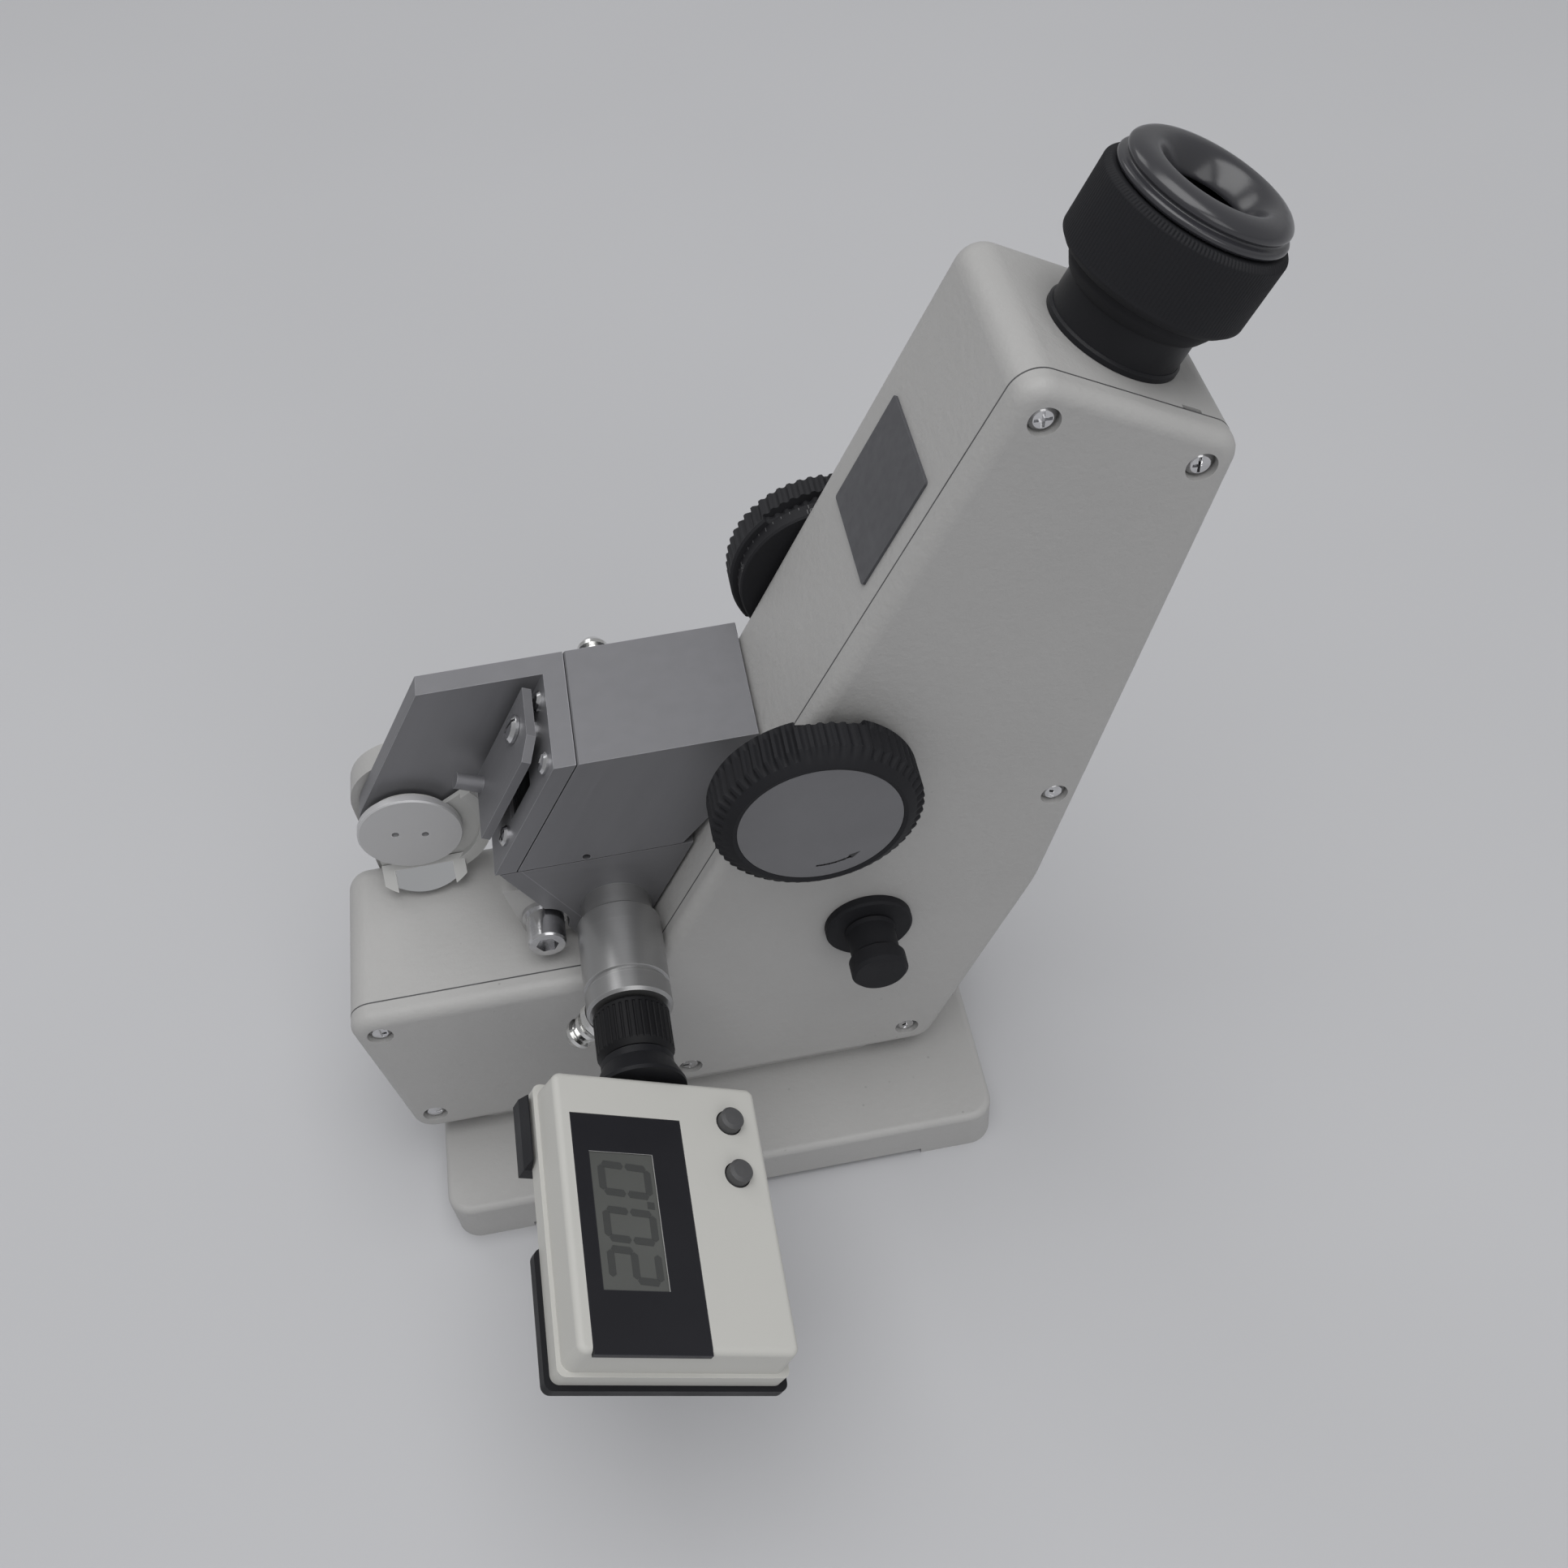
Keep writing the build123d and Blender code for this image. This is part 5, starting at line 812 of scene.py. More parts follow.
def raised(outlines: Array, height: float, place: Placer) -> tuple[Array, list]:
    """Raises flat outlines of equal length into thin plates.

    Each outline is placed twice, at height zero and at the plates' height, and a wall
    joins the two along every side.

    Args:
        outlines: pairs, as an array of plates by corners by two.
        height: how thick the plates are, in millimetres.
        place: gives points from arrays of pairs and heights.

    Returns:
        The points and the faces.
    """
    plates, corners = outlines.shape[:2]
    low = place(outlines, np.zeros(outlines.shape[:2]))
    high = place(outlines, np.full(outlines.shape[:2], height))
    points = np.concatenate([low, high], axis=1).reshape(-1, 3)
    base = np.arange(plates)[:, None] * 2 * corners
    ring = np.arange(corners)[None, :]
    beside = (ring + 1) % corners
    sides = np.stack([base + ring, base + beside, base + corners + beside,
                      base + corners + ring], axis=-1).reshape(-1, 4)
    faces = (base + ring[:, ::-1]).tolist() + (base + corners + ring).tolist()
    return points, faces + sides.tolist()


def flat_place(origin: Array, across: Array, upward: Array) -> Placer:
    """Gives the function that puts pairs and heights on a plane.

    Args:
        origin: the plane's origin, in millimetres.
        across: the direction of a pair's first number.
        upward: the direction of its second.

    Returns:
        A function of pairs and heights that gives points.
    """
    square = np.cross(across, upward)

    def place(pairs: Array, heights: Array) -> Array:
        """Point = origin + across * first + upward * second + square * height."""
        return (origin + across * pairs[..., :1] + upward * pairs[..., 1:2]
                + square * heights[..., None])

    return place


def written(words: str, size: float) -> tuple[Array, list]:
    """Draws plain numerals.

    Args:
        words: the numerals.
        size: their height, in millimetres.

    Returns:
        Pairs of the flat letters, centred, and their faces.
    """
    curve = bpy.data.curves.new("numerals", "FONT")
    curve.body = words
    curve.size = size * FONT_PER_HEIGHT
    curve.align_x = "CENTER"
    curve.align_y = "CENTER"
    curve.resolution_u = 3
    holder = put_in_scene("numerals", curve)
    bpy.context.view_layer.update()
    flat = bpy.data.meshes.new_from_object(holder)
    pairs = np.zeros(len(flat.vertices) * 3)
    flat.vertices.foreach_get("co", pairs)
    faces = [list(face.vertices) for face in flat.polygons]
    bpy.data.objects.remove(holder)
    bpy.data.meshes.remove(flat)
    return pairs.reshape(-1, 3)[:, :2], faces


# ---- sub-assemblies
@dataclass(frozen=True)
class Lamp:
    """A square lamp that faces a target, in metres and watts."""

    name: str
    place: Triple
    target: Triple
    size: float
    watts: float

    def hang(self) -> None:
        """Makes the lamp."""
        data = bpy.data.lights.new(self.name, "AREA")
        data.size = self.size
        data.energy = self.watts
        lamp = put_in_scene(self.name, data)
        lamp.location = self.place
        facing = Vector(self.target) - Vector(self.place)
        lamp.rotation_euler = facing.to_track_quat("-Z", "Y").to_euler()


@dataclass
class Studio:
    """The pale floor, the soft light and the camera."""

    camera_place: Triple = (0.00578, -0.22594, 0.37981)
    camera_right: Triple = (0.9832, -0.1717, -0.0618)
    camera_up: Triple = (0.1721, 0.7601, 0.6266)
    focal_length: float = 37.81
    sensor: float = 36.0
    nearest: float = 0.01
    floor_size: float = 8.0
    floor_colour: Triple = (0.530, 0.533, 0.550)
    floor_mottle: float = 0.03
    floor_mottle_scale: float = 2.2
    floor_roughness: float = 0.55
    floor_gloss: float = 0.3
    sky_colour: Triple = (0.985, 0.99, 1.0)
    sky_strength: float = 0.36
    lamps: tuple[Lamp, ...] = (
        Lamp("ceiling_lamp", (0.05, -0.25, 2.1), (0.0, 0.0, 0.08), 1.8, 24.0),
        Lamp("far_lamp", (-0.7, 1.5, 1.7), (0.0, 0.0, 0.1), 1.0, 5.0),
        Lamp("front_lamp", (0.5, -1.7, 1.2), (0.0, 0.0, 0.1), 1.2, 5.5))

    def build(self) -> None:
        """Makes the camera, the floor, the sky and the lamps."""
        self.place_camera()
        self.lay_floor()
        self.light()
        bpy.context.scene.view_settings.view_transform = "Standard"

    def place_camera(self) -> None:
        """Puts the camera where the photograph was taken from."""
        data = bpy.data.cameras.new("photo_camera")
        data.sensor_width = self.sensor
        data.lens = self.focal_length
        data.clip_start = self.nearest
        camera = put_in_scene("photo_camera", data)
        right = Vector(self.camera_right).normalized()
        up = Vector(self.camera_up)
        up = (up - right * up.dot(right)).normalized()
        turn = Matrix((right, up, right.cross(up))).transposed()
        camera.matrix_world = Matrix.Translation(self.camera_place) @ turn.to_4x4()
        bpy.context.scene.camera = camera

    def lay_floor(self) -> None:
        """Lays the floor, a wide flat sheet with a faint cloudy tone."""
        half = self.floor_size / 2
        mesh = bpy.data.meshes.new("floor")
        mesh.from_pydata([(-half, -half, 0), (half, -half, 0), (half, half, 0), (-half, half, 0)],
                         [], [(0, 1, 2, 3)])
        shader = Shader("floor_paper")
        cloud = shader.spread(shader.noise(self.floor_mottle_scale, 3.0), 0.0, 1.0)
        tone = shader.mixed(cloud, shade_of(self.floor_colour, -self.floor_mottle),
                            shade_of(self.floor_colour, self.floor_mottle))
        shader.set(Base_Color=tone, Roughness=self.floor_roughness,
                   Specular_IOR_Level=self.floor_gloss)
        mesh.materials.append(shader.material)
        put_in_scene("floor", mesh)

    def light(self) -> None:
        """Lights the object with a grey sky and soft lamps from above."""
        world = bpy.data.worlds.new("grey_room")
        world.use_nodes = True
        sky = world.node_tree.nodes["Background"]
        sky.inputs["Color"].default_value = (*self.sky_colour, 1.0)
        sky.inputs["Strength"].default_value = self.sky_strength
        bpy.context.scene.world = world
        for lamp in self.lamps:
            lamp.hang()


@dataclass
class CaseLooks:
    """The painted base, casting and cover, with the seam between them."""

    joint_y: float = -17.3
    seam_width: float = 0.34
    seam_proud: float = 0.03
    seam_depth: float = 0.3
    leftmost: float = -76.62
    corners: Array = field(default_factory=lambda: np.array([
        (-72.1, 18.1), (55.2, 18.1), (80.0, 78.3),
        arm_place(ARM_LENGTH, 43.5)[[0, 2]], arm_place(ARM_LENGTH, 0)[[0, 2]],
        ELBOW[[0, 2]], (-77.2, ELBOW[2])]))
    radii: Array = field(default_factory=lambda: np.array(
        [5.5, 5.5, 40.0, 5.5, 5.5, 3.0, 5.5]))

    def build(self) -> None:
        """Paints the castings and lays the dark seam round the case."""
        dress(Surface.CAST_PAINT, "base_plate", "body_casting", "side_cover")
        dress(Surface.BRIGHT_STEEL, "cover_screws")
        dress(Surface.PLAIN_STEEL, "base_bolts", "housing_bolts")
        dress(Surface.BADGE_DARK, "badge_plate")
        dress(Surface.FROSTED_GLASS, "condenser_window")
        self.seam()

    def seam(self) -> None:
        """Lays a thin dark band in the joint between the casting and its cover."""
        path = rounded_outline(self.corners, self.radii)
        half = self.seam_width / 2
        section = np.array([(-self.seam_depth, -half), (self.seam_proud, -half),
                            (self.seam_proud, half), (-self.seam_depth, half)])
        points, faces = carried(path, section, self.joint_y)
        points[:, 0] = np.maximum(points[:, 0], self.leftmost)
        make_piece("case_joint_seam", points, faces, Surface.JOINT_SEAM, "instrument")


@dataclass
class PrismLooks:
    """The metal prism housings, their hinge, the mirror and the cradle."""

    def build(self) -> None:
        """Gives each metal piece the direction of its own machining."""
        dress(Surface.PRISM_METAL, "refracting_prism_housing", "entry_prism_housing",
              "light_shield_plate")
        dress(Surface.FLAT_METAL, "prism_cradle", "thermometer_seat")
        dress(Surface.CAP_METAL, "hinge_cap")
        dress(Surface.PLAIN_STEEL, "hinge_shaft")
        dress(Surface.BRIGHT_STEEL, "entry_housing_screws", "light_shield_screw",
              "cradle_cap_screw", "cradle_washer")
        dress(Surface.OPTICAL_GLASS, "refracting_prism", "entry_prism")
        dress(Surface.POLYMER_WHITE, "mirror_holder")
        dress(Surface.SILVERED_GLASS, "mirror_glass")
        dress(Surface.HOSE_METAL, "rear_hose_nipple")


@dataclass
class RibbedWheel:
    """A black handwheel with fine ribs, shallower between three groups, and plain steps.

    Lengths are in millimetres and angles in degrees.
    """

    name: str
    body: str
    start: Array
    line: Array
    thickness: float
    bore: float
    first_rib: float
    face: float = 16.45
    face_sink: float = 1.3
    finish: Surface = Surface.KNOB_BLACK
    radius: float = 21.0
    rim: float = 2.6
    pitch: float = 6.3
    ribs: int = 13
    groups: int = 3
    groove_depth: float = 0.85
    groove_half: float = 2.2
    flange_height: float = 0.8
    between_share: float = 0.6
    step_height: float = 1.6
    step_depth: float = 0.9
    widest_step: float = 40.0
    rib_rise: float = 0.3
    rib_reach: float = 1.7
    rib_reach_fade: float = 0.6
    rib_past_side: float = 1.3
    rib_end_fade: float = 0.25
    back_edge: Pair = (0.5, 0.4)
    bevel: tuple[Pair, ...] = ((0.9, 0.8), (1.88, 1.46))
    lip: tuple[Pair, ...] = ((1.2, 0.15), (0.8, 0.0), (0.0, 0.25))
    plain_drop: float = 0.1
    hair: float = 0.02
    turns: int = 1080

    def sunk(self, angle: Array, radius: Array, height: Array) -> Array:
        """Gives the depth of the grooves and of the flat steps.

        A groove is a parabola across its width, repeated at the pitch. A step is what a
        flat chord cuts off the rim between two groups, near the case.

        Args:
            angle: angles round the wheel, in radians.
            radius: radii of the plain wheel.
            height: heights from the wheel's back.

        Returns:
            The depths, in millimetres.
        """
        sense = -1.0 if self.line[1] > 0 else 1.0
        turned = np.degrees(angle) * sense
        span = 360.0 / self.groups
        group = self.ribs * self.pitch
        phase = (turned - self.first_rib + self.pitch / 2) % span
        off = np.abs(phase % self.pitch - self.pitch / 2) / self.groove_half
        shallow = np.where(phase < group, 1.0, self.between_share)
        groove = self.groove_depth * shallow * np.clip(1 - off ** 2, 0, 1)
        groove = groove * np.clip((height - self.flange_height) / self.rib_rise, 0, 1)
        on_side = np.clip((radius - self.radius + self.rib_reach) / self.rib_reach_fade, 0, 1)
        rib_top = self.thickness - self.rim + self.rib_past_side
        below_rim = np.clip((rib_top - height) / self.rib_end_fade, 0, 1)
        middle = group + (span - group) / 2
        chord = self.radius * math.cos(math.radians((span - group) / 2)) - self.step_depth
        aside = np.clip(phase - middle, -self.widest_step, self.widest_step)
        cut = self.radius - chord / np.cos(np.radians(aside))
        step = np.clip(cut, 0, None) * (phase >= group) * (height < self.step_height)
        return groove * on_side * below_rim + step * on_side

    def build(self) -> bpy.types.Object:
        """Makes the wheel from its profile and its ribs.

        The bevel's pairs go inwards and up from the rim, and the lip's pairs outwards
        and down from the edge of the face.

        Returns:
            The wheel.
        """
        top, side, radius = self.thickness, self.thickness - self.rim, self.radius
        recessed = self.face_sink > 0
        in_from_side, up_from_back = self.back_edge
        outline = [(self.bore, 0.0), (radius - in_from_side, 0.0), (radius, up_from_back),
                   (radius, self.step_height - self.hair),
                   (radius, self.step_height + self.hair),
                   (radius, side - up_from_back), (radius, side)]
        outline += [(radius - inward, side + up) for inward, up in self.bevel]
        lip = self.lip if recessed else self.lip[:1]
        outline += [(self.face + out, top - down) for out, down in lip]
        floor = top - (self.face_sink if recessed else self.plain_drop)
        if recessed:
            outline.append((self.face, floor))
        outline.append((self.bore, floor))
        points, faces = spun(np.array(outline), self.start, self.line, self.turns, self.sunk)
        return make_piece(self.name, points, faces, self.finish, self.body)


@dataclass
class KnobLooks:
    """The lock knob with its silver disc, and the small index knob."""

    lock_centre: Array = field(default_factory=lambda: np.array([30.6, -25.1, 128.1]))
    lock_thickness: float = 9.8
    shaft_hole: float = 2.02
    first_rib: float = 100.0
    arrow_radius: float = 12.8
    arrow_start: float = -97.0
    arrow_end: float = -64.0
    arrow_width: float = 0.42
    arrow_steps: int = 40
    head_back: float = 4.0
    head_length: float = 3.08
    head_half: float = 0.62
    head_widest: float = 0.25
    ink_height: float = 0.03
    disc_face: float = 9.5

    def build(self) -> None:
        """Makes the ribbed lock knob and inks the arrow on its disc."""
        dress(Surface.DISC_METAL, "lock_knob_disc")
        dress(Surface.PLAIN_STEEL, "lock_shaft", "index_shaft")
        dress(Surface.KNOB_BLACK, "index_knob", "index_bush")
        knob = RibbedWheel("lock_knob_ribbed", "lock", self.lock_centre, NEARWARD,
                           self.lock_thickness, self.shaft_hole, self.first_rib).build()
        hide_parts("lock_knob")
        self.arrow()

    def arrow(self) -> None:
        """Inks an arrow that curves with the disc: a thin arc and a long narrow head.

        The arc's corners are at the radius plus or minus half the line's width. The head
        is widest at a share of its length, and ends in points before and behind it.
        """
        angle = np.radians(np.linspace(self.arrow_start, self.arrow_end, self.arrow_steps))
        inner = (self.arrow_radius - self.arrow_width / 2) * rays(angle)
        outer = (self.arrow_radius + self.arrow_width / 2) * rays(angle)
        line = np.stack([inner[:-1], outer[:-1], outer[1:], inner[1:]], axis=1)
        share = np.array([0.0, self.head_widest, 1.0, self.head_widest])
        wide = np.array([0.0, -self.head_half, 0.0, self.head_half])
        turned = (np.radians(self.arrow_end - self.head_back)
                  + share * self.head_length / self.arrow_radius)
        head = (self.arrow_radius + wide)[:, None] * rays(turned)
        outlines = np.concatenate([line, head[None]])
        origin = self.lock_centre + NEARWARD * self.disc_face
        points, faces = raised(outlines, self.ink_height, flat_place(origin, RIGHTWARD, UPWARD))
        make_piece("lock_disc_arrow", points, faces, Surface.INK_BLACK, "lock")


@dataclass
class DispersionLooks:
    """The far handwheel and its numbered ring."""

    centre: Array = field(default_factory=lambda: arm_place(82.8, 14.5))
    ring_near: float = 22.9
    ring_radius: float = 19.4
    ring_width: float = 3.3
    wheel_thickness: float = 8.8
    shaft_hole: float = 2.62
    first_rib: float = 130.0
    divisions: int = 60
    long_line: float = 1.1
    short_line: float = 0.6
    line_half: float = 0.07
    line_margin: float = 0.15
    number_height: float = 1.25
    number_place: float = 1.15
    marks_turn: float = math.radians(40.0)
    ink_height: float = 0.03

    def build(self) -> None:
        """Makes the ribbed wheel and inks the ring's lines and numbers."""
        dress(Surface.RING_BLACK, "dispersion_scale_ring")
        dress(Surface.PLAIN_STEEL, "dispersion_shaft", "compensator_idler")
        start = self.centre + FARWARD * (self.ring_near + self.ring_width)
        wheel = RibbedWheel("dispersion_wheel_ribbed", "dispersion", start, FARWARD,
                            self.wheel_thickness, self.shaft_hole, self.first_rib,
                            face_sink=0.0, finish=Surface.WHEEL_BLACK).build()
        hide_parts("dispersion_wheel")
        self.lines()
        self.numbers()

    def on_ring(self, pairs: Array, heights: Array) -> Array:
        """Wraps pairs of arc length and depth round the ring.

        The angle is arc length / radius plus the marks' turn; the height adds to the radius.

        Args:
            pairs: pairs of arc length and depth, in millimetres.
            heights: heights above the ring.

        Returns:
            The points.
        """
        angle = pairs[..., 0] / self.ring_radius + self.marks_turn
        reach = self.ring_radius + heights
        return np.stack([self.centre[0] + reach * np.cos(angle),
                         self.ring_near + pairs[..., 1],
                         self.centre[2] + reach * np.sin(angle)], axis=-1)

    def lines(self) -> None:
        """Inks one line per division, a longer one at each fifth.

        Line n is a rectangle about the arc length n / divisions of the way round.
        """
        number = np.arange(self.divisions)
        arc = number / self.divisions * 2 * np.pi * self.ring_radius
        top = np.full(self.divisions, self.ring_width - self.line_margin)
        foot = top - np.where(number % 5 == 0, self.long_line, self.short_line)
        left, right = arc - self.line_half, arc + self.line_half
        corners = ((left, foot), (right, foot), (right, top), (left, top))
        outlines = np.stack([np.stack(corner, axis=1) for corner in corners], axis=1)
        points, faces = raised(outlines, self.ink_height, self.on_ring)
        make_piece("dispersion_ring_lines", points, faces, Surface.INK_WHITE, "dispersion")

    def numbers(self) -> None:
        """Inks a number at each tenth line, its flat mesh wrapped round the ring."""
        points, faces, count = [], [], 0
        for number in range(0, self.divisions, 10):
            pairs, flat = written(str(number), self.number_height)
            arc = number / self.divisions * 2 * np.pi * self.ring_radius
            moved = np.stack([arc - pairs[:, 0], self.number_place + pairs[:, 1]], axis=1)
            points.append(self.on_ring(moved, np.full(len(moved), self.ink_height)))
            faces += [[corner + count for corner in face] for face in flat]
            count += len(pairs)
        make_piece("dispersion_ring_numbers", np.concatenate(points), faces,
                   Surface.INK_WHITE, "dispersion")


@dataclass
class EyepieceLooks:
    """The eyepiece: knurled collar on its neck, rubber eyecup, tubes and glass."""

    start: Array = field(default_factory=lambda: arm_place(ARM_LENGTH, 23.57))
    neck_start: float = 7.6
    neck_radius: float = 13.2
    neck_top: float = 9.6
    neck_top_radius: float = 14.4
    collar_start: float = 11.5
    collar_end: float = 26.2
    collar_radius: float = 17.5
    tube_hole: float = 12.55
    tube_hole_top: float = 14.4
    collar_hole: float = 10.0
    recess_floor: float = 19.8
    recess: float = 12.1
    knurls: int = 150
    knurl_depth: float = 0.08
    knurl_start: float = 1.6
    knurl_fade: float = 0.4
    knurl_reach: float = 1.2
    notch_depth: float = 0.30
    notch_length: float = 1.1
    notch_fade: float = 0.3
    lower_chamfer: float = 1.3
    plain_edge: Pair = (1.8, 2.2)
    upper_edge: float = 1.4
    upper_chamfer: float = 0.9
    corner_reach: float = 0.3
    collar_turns: int = 1200
    cup_gap: float = 0.05
    cup_reach: float = 0.9
    cup_turns: int = 220
    cup_corners: tuple[Pair, ...] = (
        (7.4, 0.0), (15.3, 0.0), (16.1, 0.6), (16.1, 1.5), (14.95, 1.95), (14.9, 2.35),
        (15.4, 2.8), (15.35, 3.7), (14.2, 4.75), (12.6, 5.2), (10.9, 5.1), (9.6, 4.2),
        (8.4, 2.6), (7.5, 1.0))

    def build(self) -> None:
        """Makes the collar and the eyecup, and dresses the tubes and lenses."""
        dress(Surface.BLACKENED_METAL, "telescope_tube", "eyepiece_lens_tube")
        dress(Surface.OPTICAL_GLASS, "telescope_lenses", "eyepiece_lenses")
        self.collar()
        self.cup()

    def knurl(self, angle: Array, radius: Array, height: Array) -> Array:
        """Sinks V grooves round the collar, deeper where they run out at its upper edge.

        The depth is (1 - |triangle wave of the angle|) squared times the knurl depth.

        Args:
            angle: angles round the collar, in radians.
            radius: radii of the plain collar.
            height: heights along it.

        Returns:
            The depths, in millimetres.
        """
        wave = np.abs((angle * self.knurls / (2 * np.pi)) % 1 - 0.5) * 2
        band = np.clip((height - self.collar_start - self.knurl_start) / self.knurl_fade, 0, 1)
        edge = np.clip((height - self.collar_end + self.notch_length) / self.notch_fade, 0, 1)
        outside = np.clip((radius - self.collar_radius + self.knurl_reach) / self.knurl_fade,
                          0, 1)
        deep = self.knurl_depth + (self.notch_depth - self.knurl_depth) * edge
        return deep * (1 - wave) ** 2 * band * outside

    def collar(self) -> None:
        """Makes the collar, with its narrow neck below the knurled band.

        Its section, with softened corners, is turned about the arm and sunk by the knurls.
        """
        low, high, radius = self.collar_start, self.collar_end, self.collar_radius
        corners = np.array([
            (self.tube_hole, self.neck_start), (self.neck_radius, self.neck_start),
            (self.neck_top_radius, self.neck_top), (self.neck_top_radius, low),
            (radius - self.lower_chamfer, low), (radius, low + self.lower_chamfer),
            (radius, low + self.plain_edge[0]), (radius, low + self.plain_edge[1]),
            (radius, high - self.upper_edge), (radius, high - self.upper_chamfer),
            (radius - self.upper_chamfer, high),
            (self.recess, high), (self.recess, self.recess_floor),
            (self.collar_hole, self.recess_floor), (self.collar_hole, self.tube_hole_top),
            (self.tube_hole, self.tube_hole_top)])
        points, faces = spun(softened(corners, self.corner_reach, steps=3), self.start, UP_ARM,
                             self.collar_turns, self.knurl)
        piece = make_piece("eyepiece_collar_knurled", points, faces, Surface.KNOB_BLACK,
                           "eyepiece_ring", smooth_angle=40.0)
        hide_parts("eyepiece_collar")

    def cup(self) -> None:
        """Makes the eyecup: a band, a groove and a full round lip that runs into a cone.

        Its section, with softened corners, is turned about the arm.
        """
        start = self.start + UP_ARM * (self.collar_end + self.cup_gap)
        profile = softened(np.array(self.cup_corners), self.cup_reach, steps=7)
        points, faces = spun(profile, start, UP_ARM, self.cup_turns)
        piece = make_piece("eyecup_rubber_lip", points, faces, Surface.EYECUP_RUBBER,
                           "eyepiece_ring", smooth_angle=60.0)
        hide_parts("eyecup")


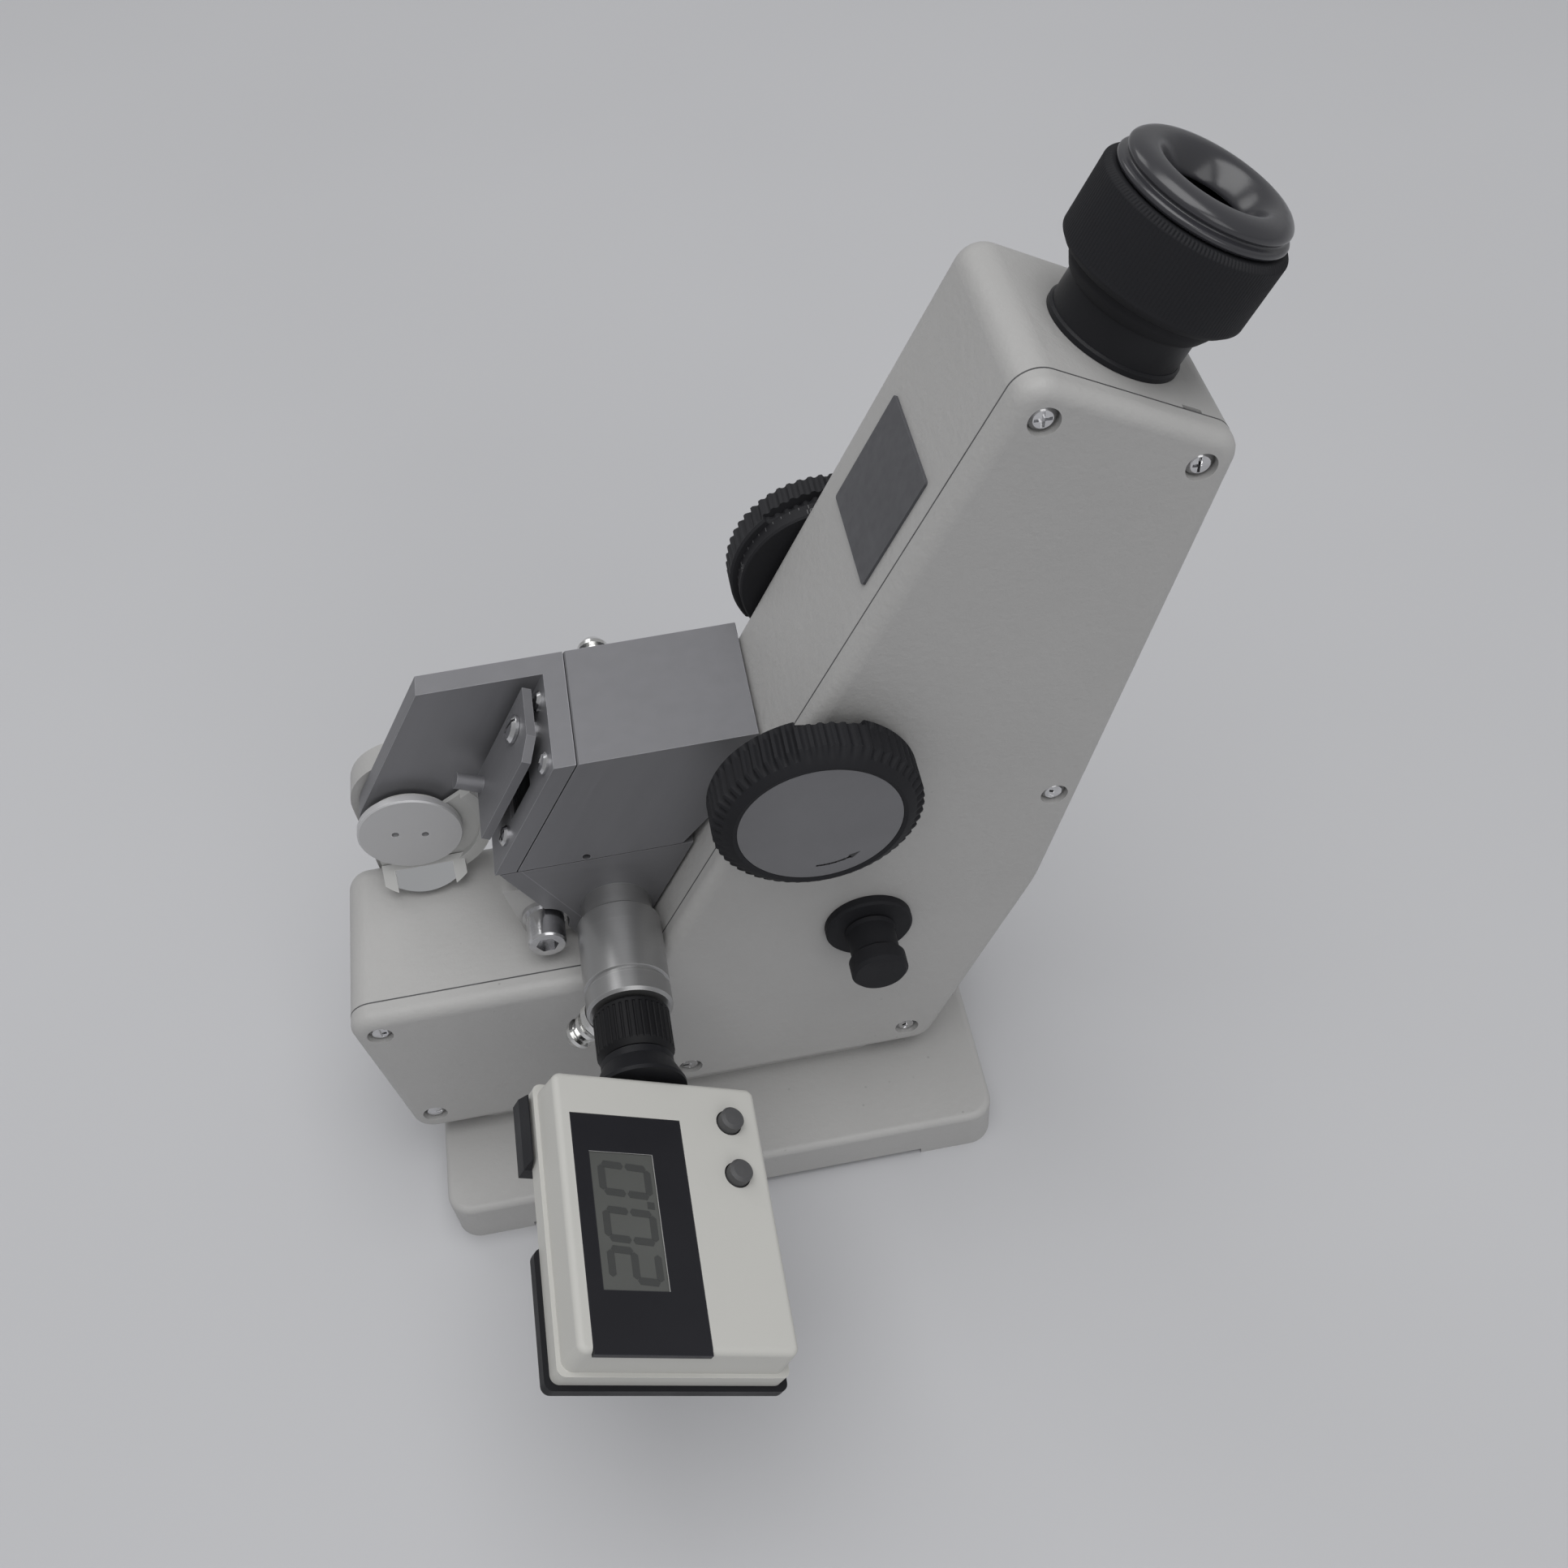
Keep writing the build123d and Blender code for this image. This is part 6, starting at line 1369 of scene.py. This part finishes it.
@dataclass
class ThermometerLooks:
    """The plug-in thermometer: socket, nut, case, display and buttons."""

    head_y: float = -58.84
    face_height: float = 7.2
    window_left: float = -16.2
    window_right: float = -3.0
    window_far: float = -17.0
    window_near: float = -44.9
    glass_sunk: float = 0.15
    digit_height: float = 9.4
    digit_width: float = 5.7
    digit_pitch: float = 7.9
    point_room: float = 1.5
    stroke: float = 1.45
    slant: float = 0.08
    stroke_share: float = 0.94
    tip: float = 0.4
    reading_shift: Pair = (0.3, -0.4)
    ink_height: float = 0.05
    edge_width: float = 0.16
    far_edge_share: float = 0.6
    edge_height: float = 0.02
    shown: str = "20.0"

    def build(self) -> None:
        """Dresses the solids and puts the digits on the window."""
        dress(Surface.SOCKET_METAL, "thermometer_socket")
        dress(Surface.HOSE_METAL, "socket_hose_nipple")
        dress(Surface.NUT_BLACK, "thermometer_nut")
        dress(Surface.PLAIN_STEEL, "thermometer_probe")
        dress(Surface.CASE_PLASTIC, "thermometer_front_case")
        dress(Surface.SHELL_BLACK, "thermometer_back_case", "thermometer_stem")
        dress(Surface.PANEL_DARK, "display_panel")
        dress(Surface.CRYSTAL_WINDOW, "display_window")
        dress(Surface.BUTTON_PLASTIC, "power_button", "unit_button")
        dress(Surface.BOARD_GREEN, "circuit_board")
        self.digits()
        self.window_edge()

    def on_face(self, height: float) -> Placer:
        """Gives the function that puts pairs on the head's face at a height."""
        origin = np.array([PROBE_XZ[0], self.head_y, PROBE_XZ[1]]) + HEAD_UP * height
        return flat_place(origin, HEAD_ACROSS, FARWARD)

    def digits(self) -> None:
        """Draws the reading in seven-stroke numerals that read away from the viewer.

        A stroke is a hexagon: a bar with pointed ends along its own direction. Numerals
        lean by the slant, and their tops point to the left of the head.
        """
        width, tall, thick, tip = self.digit_width, self.digit_height, self.stroke, self.tip
        middles = {"a": (0.5, 1.0, 0), "b": (1.0, 0.75, 1), "c": (1.0, 0.25, 1),
                   "d": (0.5, 0.0, 0), "e": (0.0, 0.25, 1), "f": (0.0, 0.75, 1),
                   "g": (0.5, 0.5, 0)}
        shapes = {"2": "abged", "0": "abcdef"}
        bar = np.array([(-0.5, 0.0), (-tip, 0.5), (tip, 0.5), (0.5, 0.0), (tip, -0.5),
                        (-tip, -0.5)])
        point = np.array([(-0.5, -0.5), (-0.5, 0.0), (-0.5, 0.5), (0.5, 0.5), (0.5, 0.0),
                          (0.5, -0.5)]) * thick
        outlines = []
        column = 0.0
        for sign in self.shown:
            if sign == ".":
                gap = self.digit_pitch - width
                outlines.append(point + (column - gap / 2 + self.point_room / 2, 0.0))
                column += self.point_room
                continue
            for stroke in shapes[sign]:
                x, z, upright = middles[stroke]
                length = (tall / 2 if upright else width) * self.stroke_share
                shape = bar * (length, thick)
                shape = shape[:, ::-1] if upright else shape
                outlines.append(shape + (column + x * width, z * tall))
            column += self.digit_pitch
        drawn = np.array(outlines)
        drawn[..., 0] += drawn[..., 1] * self.slant
        drawn -= (drawn.reshape(-1, 2).max(axis=0) + drawn.reshape(-1, 2).min(axis=0)) / 2
        centre = ((self.window_left + self.window_right) / 2 + self.reading_shift[0],
                  (self.window_far + self.window_near) / 2 + self.reading_shift[1])
        turned = np.stack([centre[0] - drawn[..., 1], centre[1] + drawn[..., 0]], axis=-1)
        points, faces = raised(turned, self.ink_height,
                               self.on_face(self.face_height - self.glass_sunk))
        make_piece("display_digits", points, faces, Surface.DISPLAY_SEGMENT, "thermometer")

    def window_edge(self) -> None:
        """Lays a painted highlight on the window's cut edge, along its right and far sides.

        Each is a rectangle raised to the head's face.
        """
        left, right, far, near = (self.window_left, self.window_right, self.window_far,
                                  self.window_near)
        inside = right - self.edge_width
        below = far - self.edge_width * self.far_edge_share
        outlines = np.array([[(inside, near), (right, near), (right, far), (inside, far)],
                             [(left, below), (right, below), (right, far), (left, far)]])
        points, faces = raised(outlines, self.edge_height,
                               self.on_face(self.face_height - self.edge_height))
        make_piece("display_window_edge", points, faces, Surface.WINDOW_EDGE, "thermometer")


@dataclass
class MechanismLooks:
    """The pieces inside the case: scale, compensator and their gears."""

    pivot: Array = field(default_factory=lambda: np.array([42.143, 0.0, 113.4]))
    glass_far: float = 12.9
    middle: float = -91.53
    half: float = 17.0
    lines_count: int = 61
    lines_radius: float = 27.5
    long_line: float = 3.2
    middle_line: float = 2.4
    short_line: float = 1.6
    line_half: float = 0.05
    ink_height: float = 0.03

    def build(self) -> None:
        """Dresses the mechanism and inks the lines of the glass scale."""
        dress(Surface.MECHANISM_METAL, "scale_sector", "compensator_cell_lower",
              "compensator_cell_upper")
        dress(Surface.OPTICAL_GLASS, "scale_glass", "compensator_prism_lower",
              "compensator_prism_upper")
        dress(Surface.SILVERED_GLASS, "scale_mirror")
        self.scale_lines()

    def scale_lines(self) -> None:
        """Inks fine lines on the glass: each points at the pivot, every tenth is longer.

        A line runs along its ray from the pivot, to the lines' radius, half a line's width
        to either side.
        """
        number = np.arange(self.lines_count)
        angle = np.radians(self.middle + np.linspace(-self.half, self.half, self.lines_count))
        long = np.where(number % 10 == 0, self.long_line,
                        np.where(number % 5 == 0, self.middle_line, self.short_line))
        along = rays(angle)
        beside = rays(angle + np.pi / 2) * self.line_half
        outer = along * self.lines_radius
        inner = along * (self.lines_radius - long)[:, None]
        outlines = np.stack([inner - beside, inner + beside, outer + beside, outer - beside],
                            axis=1)
        origin = self.pivot + FARWARD * self.glass_far
        points, faces = raised(outlines, -self.ink_height,
                               flat_place(origin, RIGHTWARD, UPWARD))
        make_piece("scale_glass_lines", points, faces, Surface.INK_BLACK, "scale")


def main() -> None:
    """Builds the sub-assemblies in order."""
    logging.basicConfig(level=logging.INFO, format="%(name)s: %(message)s")
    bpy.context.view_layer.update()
    for assembly in (Studio(), CaseLooks(), PrismLooks(), KnobLooks(), DispersionLooks(),
                     EyepieceLooks(), ThermometerLooks(), MechanismLooks()):
        assembly.build()
        log.info("built %s", type(assembly).__name__)


if __name__ == "__main__":
    main()
